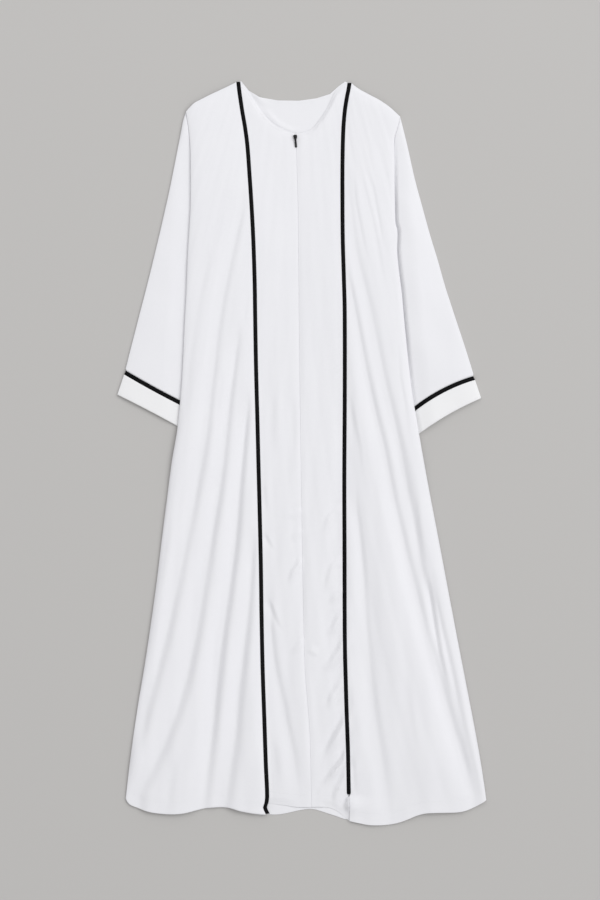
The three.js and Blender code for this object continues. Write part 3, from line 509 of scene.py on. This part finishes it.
def front_rise(points):
    rise = main_rise(points)
    settled = smooth(rise / 3)
    crease = path_heights(points, CREASES)
    detailed = rise - np.where(crease > 0, crease * settled, crease) + wander(points) * settled
    floor = np.minimum(rise, LEAST_RISE)
    return np.maximum(detailed, floor)


def unpressed(points):
    """Share of its rise and thickness that the front keeps near its neckline and its hem."""
    x, drop = points[..., 0], points[..., 1]
    share = np.ones_like(x)
    near_neck = drop < 120
    neck = np.stack([FRONT_NECK["x"], FRONT_NECK["drop"]], -1)
    distance, _, _ = distance_to_path(points[near_neck], neck)
    pressed = value_at(NECK_PRESSED, "x", "share", x[near_neck]) * (1 - LEFT_OF_EDGE)
    share[near_neck] = 1 - pressed * (1 - smooth(distance / NECK_PRESS_REACH))
    above_hem = value_at(FRONT_HEM["centre"], "x", "drop", x) - drop
    pressed = value_at(HEM_PRESSED, "x", "share", x) * (1 - LEFT_OF_EDGE)
    in_centre = (x > FRONT_HEM["centre"]["x"][0]) & (x < FRONT_HEM["centre"]["x"][-1])
    at_hem = 1 - pressed * (1 - smooth(above_hem / HEM_PRESS_REACH))
    return share * np.where(in_centre, at_hem, 1)


def tuck_rise(points):
    x, drop = points[..., 0], points[..., 1]
    past_seam = x - value_at(STRIPE["right"], "drop", "x", drop)
    centre, side, bank = (value_at(TUCK, "drop", key, drop) for key in ("centre", "side", "bank"))
    return np.where(past_seam < 0, centre * (1 - smooth(-past_seam / bank)),
                    side * np.exp(-(past_seam / TUCK_REACH) ** 2))


def front_under(points):
    rise = (SEAM_GAP + front_rise(points)) * unpressed(points)
    return back_under(points) + CLOTH + rise + tuck_rise(points)


def sleeve_over(side, raised):
    """Upper side of a sleeve: flat under the body, softly puffed where it lies open. Beside the
    body's edge it rises steeply, so that the two make a crease, but not at the shoulder."""
    def over(points):
        outward = -1 if side == "left" else 1
        x, drop = points[..., 0], points[..., 1]
        outer = value_at(SLEEVE_OUTER[side], "drop", "x", drop)
        past_body = outward * (x - value_at(SIDE_EDGE[side], "drop", "x", drop))
        bank = (value_at(SLEEVE_BANK[side], "drop", "height", drop)
                * smooth(past_body / SLEEVE_CREASE))
        settles = 1 - smooth((past_body - SLEEVE_CREASE) / (2 * SLEEVE_PUFF_REACH))
        open_part = smooth(past_body / SLEEVE_PUFF_REACH)
        inside = round_off(outward * (outer - x) / SLEEVE_PUFF_REACH)
        soft = 1 + 0.12 * np.sin(drop / 37 + x / 23) + 0.08 * np.sin(drop / 19 - x / 31)
        shoulder = (SHOULDER_JOIN * smooth((past_body + SHOULDER_JOIN_START) / SHOULDER_JOIN_WIDTH)
                    * (1 - smooth((drop - SHOULDER_JOIN_DROP) / SHOULDER_JOIN_FADE)))
        joined = shoulder * round_off(outward * (outer - x) / SHOULDER_JOIN_ROLL)
        puff = SLEEVE_PUFF[side] * soft * open_part + bank * settles
        return SLEEVE_STACK + raised + puff * inside + joined
    return over


# ---- Meshes ----

def to_frame(points, heights):
    x, drop = points[..., 0], points[..., 1]
    return np.stack([x - CENTRE_X, CENTRE_DROP - drop, heights], -1) / 1000


def make_object(name, vertices, faces):
    mesh = bpy.data.meshes.new(name)
    mesh.from_pydata(vertices.tolist(), [], faces)
    mesh.validate()
    mesh.update()
    mesh.polygons.foreach_set("use_smooth", [True] * len(mesh.polygons))
    obj = bpy.data.objects.new(name, mesh)
    bpy.context.scene.collection.objects.link(obj)
    return obj


def grid_faces(rows, cols, start=0, flipped=False):
    i, j = np.meshgrid(np.arange(rows - 1), np.arange(cols - 1), indexing="ij")
    corner = start + i * cols + j
    faces = np.stack([corner, corner + cols, corner + cols + 1, corner + 1], -1).reshape(-1, 4)
    return faces[:, ::-1] if flipped else faces


def rim_faces(rows, cols, lower_start):
    ring = [(i, 0) for i in range(rows - 1)] + [(rows - 1, j) for j in range(cols - 1)]
    ring += [(i, cols - 1) for i in range(rows - 1, 0, -1)]
    ring += [(0, j) for j in range(cols - 1, 0, -1)]
    upper = np.array([i * cols + j for i, j in ring])
    following = np.roll(upper, -1)
    return np.stack([following, upper, lower_start + upper, lower_start + following], -1)


def stations(length, step):
    """Shares along an edge, with two extra ones close to each end for the rounded rim."""
    inner = np.linspace(0, 1, max(2, round(length / step)) + 1)[1:-1]
    near = np.array([0.35, 1.0]) / length
    return np.concatenate([[0], near, inner, 1 - near[::-1], [1]])


def edge_share(grid, across, down):
    """Share of the cloth's thickness at each point of a grid: it is rounded off at the edges."""
    widths = np.linalg.norm(grid[:, -1] - grid[:, 0], axis=-1)[:, None]
    lengths = np.linalg.norm(grid[-1] - grid[0], axis=-1)[None, :]
    to_side = np.minimum(across, 1 - across)[None, :] * widths
    to_end = np.minimum(down, 1 - down)[:, None] * lengths
    return np.maximum(round_off(np.minimum(to_side, to_end) / EDGE_ROUND), THINNEST_EDGE)


def cloth_wall(name, grid, across, down, under, thickness):
    """A closed shell over a grid of plan points: heights of its underside, and its thickness."""
    rows, cols = grid.shape[:2]
    low = under(grid)
    slope_down, slope_across = np.gradient(low)
    step_down = np.maximum(np.linalg.norm(np.gradient(grid, axis=0), axis=-1), 0.05)
    step_across = np.maximum(np.linalg.norm(np.gradient(grid, axis=1), axis=-1), 0.05)
    steep = np.sqrt(1 + (slope_down / step_down) ** 2 + (slope_across / step_across) ** 2)
    thick = thickness(grid) * np.minimum(steep, 1.5)
    share = edge_share(grid, across, down)
    middle = low + thick / 2
    upper = to_frame(grid, middle + thick / 2 * share).reshape(-1, 3)
    lower = to_frame(grid, middle - thick / 2 * share).reshape(-1, 3)
    faces = np.vstack([
        grid_faces(rows, cols),
        grid_faces(rows, cols, rows * cols, flipped=True),
        rim_faces(rows, cols, rows * cols),
    ])
    return make_object(name, np.vstack([upper, lower]), faces.tolist())


def plain_cloth(points):
    return np.full(points.shape[:-1], float(CLOTH))


def centre_cloth(points):
    return CLOTH * mix(LEAST_PRESSED, 1, unpressed(points))


def rim_corners(left, right, top, bottom):
    """The same four edges with their shared corners made equal."""
    left = np.vstack([top[:1], left[1:-1], bottom[:1]])
    right = np.vstack([top[-1:], right[1:-1], bottom[-1:]])
    return left, right, top, bottom


# ---- Body panels ----

def body_rows():
    return stations(GARMENT_LENGTH, ROW_STEP)


def stripe_edge(side, shares, sign):
    """Edge of a panel beside a stripe. Below the right stripe's end it runs to a plain seam."""
    offset = np.full_like(shares, PIPING_WIDTH / 2 + SEWN_GAP)
    if side == "right":
        closing = np.clip((shares - STRIPE_END) / (STRIPE_CLOSED - STRIPE_END), 0, 1)
        offset = mix(offset, SEWN_GAP / 2, closing)
    return down_edge(STRIPE[side], shares, sign * offset)


def side_panel(side):
    down = body_rows()
    across = stations(250, COLUMN_STEP)
    outer = down_edge(SIDE_EDGE[side], down)
    inner = stripe_edge(side, down, -1 if side == "left" else 1)
    left, right = (outer, inner) if side == "left" else (inner, outer)
    top = across_edge(SHOULDER[side], across, left[0, 0], right[0, 0])
    bottom = across_edge(FRONT_HEM[side], across, left[-1, 0], right[-1, 0])
    grid = fill_outline(*rim_corners(left, right, top, bottom), across, down)
    return cloth_wall(f"cloth_side_{side}", grid, across, down, front_under, plain_cloth)


def centre_panel(side):
    down = body_rows()
    seam_share = LEFT_SEAM_END if side == "left" else 1.0
    across = stations(100, COLUMN_STEP)
    neck_end = 0 if side == "left" else -1
    seam = stripe_edge(side, down * seam_share, 1 if side == "left" else -1)
    seam[0] = FRONT_NECK["x"][neck_end], FRONT_NECK["drop"][neck_end]
    centre = down_edge(CENTRE_SEAM, down, -SEWN_GAP / 2 if side == "left" else SEWN_GAP / 2)
    left, right = (seam, centre) if side == "left" else (centre, seam)
    top = across_edge(FRONT_NECK, across, left[0, 0], right[0, 0])
    bottom = across_edge(FRONT_HEM["centre"], across, left[-1, 0], right[-1, 0])
    grid = fill_outline(*rim_corners(left, right, top, bottom), across, down)
    return cloth_wall(f"cloth_centre_{side}", grid, across, down, front_under, centre_cloth)


def back_panel():
    down = body_rows()
    across = np.unique(np.concatenate([stations(600, COLUMN_STEP * 1.6), BACK_TOP["share"]]))
    top = np.stack([np.interp(across, BACK_TOP["share"], BACK_TOP[key])
                    for key in ("x", "drop")], -1)
    left = down_edge(SIDE_EDGE["left"], down)
    right = down_edge(SIDE_EDGE["right"], down)
    bottom = across_edge(BACK_HEM, across, left[-1, 0], right[-1, 0])
    grid = fill_outline(*rim_corners(left, right, top, bottom), across, down)
    return cloth_wall("cloth_back", grid, across, down, back_under, plain_cloth)


def front_piping(side):
    shares = body_rows()
    if side == "right":
        shares = shares * STRIPE_END
    across = np.array([0, 0.04, 0.14, 0.3, 0.5, 0.7, 0.86, 0.96, 1])
    middle = down_edge(STRIPE[side], shares)
    offsets = (across - 0.5) * PIPING_WIDTH
    drops = np.repeat(middle[:, None, 1], len(across), 1)
    grid = np.stack([middle[:, None, 0] + offsets, drops], -1)

    def crowned(points):
        centre = value_at(STRIPE[side], "drop", "x", points[..., 1])
        off = np.clip(np.abs(points[..., 0] - centre) / (PIPING_WIDTH / 2), 0, 1)
        return CLOTH + PIPING_CROWN * (1 - off ** 2)

    down = np.linspace(0, 1, len(shares))
    return cloth_wall(f"piping_front_{side}_satin", grid, across, down, front_under, crowned)


# ---- Sleeves ----

def cross_line(line, across, moved):
    start, end, bow = np.array(line[0], float), np.array(line[1], float), line[2]
    direction = (end - start) / np.linalg.norm(end - start)
    down = np.array([-direction[1], direction[0]])
    rise = 4 * bow * across * (1 - across)
    return mix(start, end, across[:, None]) + (moved - rise)[:, None] * down


def armhole_line(side, across):
    """A smooth curve through the armhole's corners, at even shares of its length."""
    corners = np.array(ARMHOLE[side], float)
    padded = np.vstack([2 * corners[0] - corners[1], corners, 2 * corners[-1] - corners[-2]])
    dense = []
    for k in range(len(corners) - 1):
        t = np.linspace(0, 1, 60, endpoint=False)[:, None]
        p0, p1, p2, p3 = padded[k:k + 4]
        dense.append(0.5 * (2 * p1 + (p2 - p0) * t + (2 * p0 - 5 * p1 + 4 * p2 - p3) * t ** 2
                            + (3 * p1 - p0 - 3 * p2 + p3) * t ** 3))
    dense = np.vstack(dense + [corners[-1:]])
    lengths = np.concatenate([[0], np.cumsum(np.linalg.norm(np.diff(dense, axis=0), axis=1))])
    return np.stack([np.interp(across * lengths[-1], lengths, dense[:, k]) for k in (0, 1)], -1)


def tube_loops(grid, over, inset):
    """Loops round a flattened tube: over the top from edge to edge, and back underneath."""
    top = grid[:, 1:-1]
    high = over(top) - inset
    low = np.full(high.shape, float(inset))
    middle = np.full(len(grid), SLEEVE_STACK / 2)
    return np.concatenate([
        to_frame(grid[:, :1], middle[:, None]),
        to_frame(top, high),
        to_frame(grid[:, -1:], middle[:, None]),
        to_frame(top[:, ::-1], low),
    ], axis=1)


def tube_object(name, outer_grid, inner_grid, over):
    outer = tube_loops(outer_grid, over, 0)
    inner = tube_loops(inner_grid, over, CLOTH)
    rows, around = outer.shape[:2]
    faces = []
    first_inner = rows * around
    for k in range(around):
        n = (k + 1) % around
        for i in range(rows - 1):
            a, b = i * around, (i + 1) * around
            faces.append((a + k, b + k, b + n, a + n))
            faces.append((first_inner + a + k, first_inner + a + n,
                          first_inner + b + n, first_inner + b + k))
        last = (rows - 1) * around
        faces.append((k, n, first_inner + n, first_inner + k))
        faces.append((last + n, last + k, first_inner + last + k, first_inner + last + n))
    vertices = np.vstack([outer.reshape(-1, 3), inner.reshape(-1, 3)])
    return make_object(name, vertices, faces)


def tube_stations(width, count):
    """Shares across the outside and the inside of a flattened tube, round at its folded edges."""
    rounding = SLEEVE_STACK / 2
    turns = (1 - np.cos(np.linspace(0, math.pi / 2, 4)[1:])) * rounding
    outside = np.concatenate([[0], turns / width])
    middle = np.linspace(0, 1, count)[2:-2]
    inner = (CLOTH + 0.1 + turns * 0.3) / width
    inside = np.concatenate([[(CLOTH + 0.05) / width], inner])
    return [np.concatenate([ends, middle, 1 - ends[::-1]]) for ends in (outside, inside)]


def sleeve(side):
    start_line = lambda u: armhole_line(side, u)
    end_line = lambda u: cross_line(CUFF_PIPING[side], u, -PIPING_WIDTH / 2 - SEAM_GAP)
    down = np.linspace(0, 1, SLEEVE_ROWS)
    starts, ends = start_line(np.array([0.0, 1.0])), end_line(np.array([0.0, 1.0]))
    edges = [mix(starts[k], ends[k], down[:, None]) for k in (0, 1)]
    outer = edges[0 if side == "left" else 1]
    outer[1:-1, 0] = value_at(SLEEVE_OUTER[side], "drop", "x", outer[1:-1, 1])
    grids = [fill_outline(edges[0], edges[1], start_line(u), end_line(u), u, down)
             for u in tube_stations(150, SLEEVE_COLUMNS)]
    return tube_object(f"cloth_sleeve_{side}", *grids, sleeve_over(side, 0))


def band(name, side, upper, lower, rows):
    down = np.linspace(0, 1, rows)[:, None, None]
    grids = [mix(upper(u)[None], lower(u)[None], down) for u in tube_stations(130, BAND_COLUMNS)]
    return tube_object(name, *grids, sleeve_over(side, BAND_RAISE))


def cuff_piping(side):
    line = CUFF_PIPING[side]
    return band(f"piping_cuff_{side}_satin", side,
                lambda u: cross_line(line, u, -PIPING_WIDTH / 2),
                lambda u: cross_line(line, u, PIPING_WIDTH / 2), CUFF_PIPING_ROWS)


def cuff(side):
    return band(f"cloth_cuff_{side}", side,
                lambda u: cross_line(CUFF_PIPING[side], u, PIPING_WIDTH / 2 + SEAM_GAP),
                lambda u: cross_line(CUFF_EDGE[side], u, 0), CUFF_ROWS)


# ---- Stitches: each is a short rounded thread, pulled in at both ends ----

def stitch_row(name, path, surface):
    """Stitches along a plan path, on a surface given by its height over plan points."""
    path = np.array(path, float)
    lengths = np.concatenate([[0], np.cumsum(np.linalg.norm(np.diff(path, axis=0), axis=1))])
    first = np.arange(STITCH_GAP, lengths[-1] - STITCH_LENGTH, STITCH_LENGTH + STITCH_GAP)
    places = first[:, None] + STITCH_LENGTH * STITCH_STATIONS
    points = np.stack([np.interp(places, lengths, path[:, k]) for k in (0, 1)], -1)
    along = points[:, -1:] - points[:, :1]
    across = np.stack([-along[..., 1], along[..., 0]], -1)
    across = across / np.linalg.norm(across, axis=-1, keepdims=True)
    turns = np.linspace(0, 2 * math.pi, STITCH_SIDES, endpoint=False)
    thick = THREAD / 2 * STITCH_SWELL[None, :, None]
    plan = points[:, :, None] + across[:, :, None] * (thick * np.cos(turns))[..., None]
    height = surface(points)[..., None] + thick * (np.sin(turns) + STITCH_SUNK)
    vertices = to_frame(plan, height).reshape(-1, 3)
    stations_each, faces = len(STITCH_STATIONS), []
    for start in range(0, len(vertices), stations_each * STITCH_SIDES):
        for i in range(stations_each - 1):
            for k in range(STITCH_SIDES):
                ring = start + i * STITCH_SIDES
                a, b = ring + k, ring + (k + 1) % STITCH_SIDES
                faces.append((a, b, b + STITCH_SIDES, a + STITCH_SIDES))
        faces.append(tuple(start + k for k in reversed(range(STITCH_SIDES))))
        last = start + (stations_each - 1) * STITCH_SIDES
        faces.append(tuple(last + k for k in range(STITCH_SIDES)))
    return make_object(name, vertices, faces)


def front_over(points):
    return front_under(points) + CLOTH


def back_over(points):
    return back_under(points) + CLOTH


def hem_stitches(name, table, from_x, to_x):
    x = np.linspace(from_x, to_x, 60)
    drop = value_at(table, "x", "drop", x) - HEM_TURN
    return stitch_row(name, np.stack([x, drop], -1), front_over)


def edge_stitches(name, line, surface):
    """Stitches a little inside an edge that runs in +X with the cloth below it."""
    line = np.array(line, float)
    along = np.gradient(line, axis=0)
    inward = np.stack([-along[:, 1], along[:, 0]], -1)
    inward /= np.linalg.norm(inward, axis=1, keepdims=True)
    return stitch_row(name, line + inward * EDGE_STITCH, surface)


# ---- Materials ----

def new_material(name, base, roughness):
    material = bpy.data.materials.new(name)
    material.use_nodes = True
    shader = material.node_tree.nodes["Principled BSDF"]
    shader.inputs["Base Color"].default_value = (*base, 1)
    shader.inputs["Roughness"].default_value = roughness
    return material, shader


def add_node(material, kind, **settings):
    node = material.node_tree.nodes.new(kind)
    for key, value in settings.items():
        if key in node.inputs:
            node.inputs[key].default_value = value
        else:
            setattr(node, key, value)
    return node


def crepe(name, base, tint):
    """Matte crepe: a fine pebbled weave, faint slubs and slightly uneven colour."""
    material, shader = new_material(name, base, 0.82)
    shader.inputs["Sheen Weight"].default_value = 0.18
    shader.inputs["Sheen Roughness"].default_value = 0.5
    shader.inputs["Specular IOR Level"].default_value = 0.25
    link = material.node_tree.links.new
    place = add_node(material, "ShaderNodeTexCoord").outputs["Object"]
    pebble = add_node(material, "ShaderNodeTexNoise", Scale=900.0, Detail=3.0, Roughness=0.65)
    warp = add_node(material, "ShaderNodeTexWave", Scale=420.0, Distortion=3.0, bands_direction="X")
    weft = add_node(material, "ShaderNodeTexWave", Scale=380.0, Distortion=3.0, bands_direction="Y")
    mottle = add_node(material, "ShaderNodeTexNoise", Scale=14.0, Detail=4.0)
    for node in (pebble, warp, weft, mottle):
        link(place, node.inputs["Vector"])
    threads = add_node(material, "ShaderNodeMath", operation="ADD")
    link(warp.outputs["Fac"], threads.inputs[0])
    link(weft.outputs["Fac"], threads.inputs[1])
    height = add_node(material, "ShaderNodeMath", operation="MULTIPLY_ADD")
    height.inputs[1].default_value = 0.3
    link(threads.outputs[0], height.inputs[0])
    link(pebble.outputs["Fac"], height.inputs[2])
    bump = add_node(material, "ShaderNodeBump", Strength=0.35, Distance=0.0004)
    link(height.outputs[0], bump.inputs["Height"])
    link(bump.outputs["Normal"], shader.inputs["Normal"])
    colour = add_node(material, "ShaderNodeMix", data_type="RGBA")
    link(mottle.outputs["Fac"], colour.inputs["Factor"])
    colour.inputs[6].default_value = (*base, 1)
    colour.inputs[7].default_value = (*tint, 1)
    link(colour.outputs[2], shader.inputs["Base Color"])
    return material


def satin(name):
    """Black satin piping: a fine diagonal float with a soft gloss."""
    material, shader = new_material(name, (0.003, 0.003, 0.0035), 0.5)
    shader.inputs["Specular IOR Level"].default_value = 0.07
    link = material.node_tree.links.new
    place = add_node(material, "ShaderNodeTexCoord").outputs["Object"]
    twill = add_node(material, "ShaderNodeTexWave", Scale=520.0, Distortion=1.0,
                     bands_direction="DIAGONAL")
    grain = add_node(material, "ShaderNodeTexNoise", Scale=300.0, Detail=3.0)
    link(place, twill.inputs["Vector"])
    link(place, grain.inputs["Vector"])
    height = add_node(material, "ShaderNodeMath", operation="ADD")
    link(twill.outputs["Fac"], height.inputs[0])
    link(grain.outputs["Fac"], height.inputs[1])
    bump = add_node(material, "ShaderNodeBump", Strength=0.25, Distance=0.0003)
    link(height.outputs[0], bump.inputs["Height"])
    link(bump.outputs["Normal"], shader.inputs["Normal"])
    rough = add_node(material, "ShaderNodeMapRange")
    rough.inputs["To Min"].default_value = 0.45
    rough.inputs["To Max"].default_value = 0.6
    link(grain.outputs["Fac"], rough.inputs["Value"])
    link(rough.outputs["Result"], shader.inputs["Roughness"])
    return material


def enamel(name):
    """Black enamelled zip metal, a little worn where fingers rub it."""
    material, shader = new_material(name, (0.012, 0.012, 0.014), 0.3)
    shader.inputs["Metallic"].default_value = 0.4
    link = material.node_tree.links.new
    place = add_node(material, "ShaderNodeTexCoord").outputs["Object"]
    wear = add_node(material, "ShaderNodeTexNoise", Scale=700.0, Detail=5.0)
    link(place, wear.inputs["Vector"])
    rough = add_node(material, "ShaderNodeMapRange")
    rough.inputs["To Min"].default_value = 0.22
    rough.inputs["To Max"].default_value = 0.42
    link(wear.outputs["Fac"], rough.inputs["Value"])
    link(rough.outputs["Result"], shader.inputs["Roughness"])
    return material


def thread(name):
    """White polyester thread with a slight twist."""
    material, shader = new_material(name, (0.84, 0.84, 0.86), 0.55)
    link = material.node_tree.links.new
    place = add_node(material, "ShaderNodeTexCoord").outputs["Object"]
    twist = add_node(material, "ShaderNodeTexWave", Scale=900.0, Distortion=0.5,
                     bands_direction="DIAGONAL")
    link(place, twist.inputs["Vector"])
    bump = add_node(material, "ShaderNodeBump", Strength=0.3, Distance=0.0001)
    link(twist.outputs["Fac"], bump.inputs["Height"])
    link(bump.outputs["Normal"], shader.inputs["Normal"])
    return material


CREPE = crepe("white_crepe", (0.85, 0.85, 0.88), (0.83, 0.83, 0.865))
CUFF_CREPE = crepe("white_crepe_cuff", (0.875, 0.875, 0.887), (0.86, 0.86, 0.875))
SATIN = satin("black_satin")
ENAMEL = enamel("black_enamel")
THREAD_WHITE = thread("white_thread")


# ---- Dressing the frame ----

def lay(piece, node, material, sewn=()):
    piece.data.materials.append(material)
    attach(piece, BODY)
    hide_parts(node)
    for row in sewn:
        row.data.materials.append(THREAD_WHITE)
        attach(row, BODY)


floor_mesh = bpy.data.meshes.new("floor")
floor_mesh.from_pydata([(-6, -6, 0), (6, -6, 0), (6, 6, 0), (-6, 6, 0)], [], [(0, 1, 2, 3)])
floor = bpy.data.objects.new("floor", floor_mesh)
bpy.context.scene.collection.objects.link(floor)
floor.location.z = -0.0003
floor_material, _ = new_material("pale_floor", (0.52, 0.51, 0.5), 0.9)
floor.data.materials.append(floor_material)

across_neck = np.linspace(0, 1, 60)
back_neck = [(x, drop) for share, x, drop in zip(*BACK_TOP.values())
             if BACK_NECK_SHARES[0] < share < BACK_NECK_SHARES[1]]
lay(back_panel(), "back", CREPE, [
    edge_stitches("thread_neck_back", back_neck, back_over)])
centre_stitches = {
    "left": [
        edge_stitches("thread_neck_left", across_edge(FRONT_NECK, across_neck, -112, -13),
                      front_over),
        hem_stitches("thread_hem_centre_left", FRONT_HEM["centre"], -59, 16)],
    "right": [
        edge_stitches("thread_neck_right", across_edge(FRONT_NECK, across_neck, -8, 84),
                      front_over),
        hem_stitches("thread_hem_centre_right", FRONT_HEM["centre"], 22, 84)],
}
side_stitches = {
    "left": [hem_stitches("thread_hem_left", FRONT_HEM["left"], -322, -78)],
    "right": [hem_stitches("thread_hem_right", FRONT_HEM["right"], 98, 338)],
}
for side in ("left", "right"):
    lay(centre_panel(side), f"front_centre_{side}", CREPE,
        centre_stitches[side])
    lay(side_panel(side), f"front_side_{side}", CREPE,
        side_stitches[side])
    lay(front_piping(side), f"piping_front_{side}", SATIN)
    lay(sleeve(side), f"sleeve_{side}", CREPE)
    lay(cuff_piping(side), f"piping_cuff_{side}", SATIN)
    cuff_line = cross_line(CUFF_EDGE[side], np.linspace(0.03, 0.97, 40), -EDGE_STITCH)
    lay(cuff(side), f"cuff_{side}", CUFF_CREPE, [
        stitch_row(f"thread_cuff_{side}", cuff_line, sleeve_over(side, BAND_RAISE))])

for node in ("zip_slider", "zip_pull"):
    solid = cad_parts[node]
    solid.data.materials.clear()
    solid.data.materials.append(ENAMEL)


# ---- Camera and light ----

def softbox(name, towards, distance, size, power):
    """A round light: towards points from the garment to the light."""
    data = bpy.data.lights.new(name, "AREA")
    data.shape = "DISK"
    data.size = size
    data.energy = power
    lamp = bpy.data.objects.new(name, data)
    bpy.context.scene.collection.objects.link(lamp)
    direction = Vector(towards).normalized()
    lamp.location = direction * distance
    lamp.rotation_euler = direction.to_track_quat("Z", "Y").to_euler()


CAMERA_HEIGHT = 4.0
CAMERA_PLACE = (-0.0034, 0.0057, CAMERA_HEIGHT)
FRAME_HEIGHT = 1.7154  # metres of floor from the top to the bottom of the picture
SENSOR = 24.0

camera_data = bpy.data.cameras.new("camera")
camera_data.sensor_fit = "VERTICAL"
camera_data.sensor_height = SENSOR
camera_data.lens = SENSOR * CAMERA_HEIGHT / FRAME_HEIGHT
camera = bpy.data.objects.new("camera", camera_data)
camera.location = CAMERA_PLACE
bpy.context.scene.collection.objects.link(camera)
bpy.context.scene.camera = camera

world = bpy.data.worlds.new("studio")
world.use_nodes = True
world.node_tree.nodes["Background"].inputs["Color"].default_value = (1, 1, 1, 1)
world.node_tree.nodes["Background"].inputs["Strength"].default_value = 0.6
bpy.context.scene.world = world
softbox("key", (0.85, 0.4, 1.15), 16.0, 14.0, 1110)
softbox("top", (0.0, 1.0, 1.1), 5.0, 4.0, 38)
bpy.context.scene.view_settings.view_transform = "Standard"
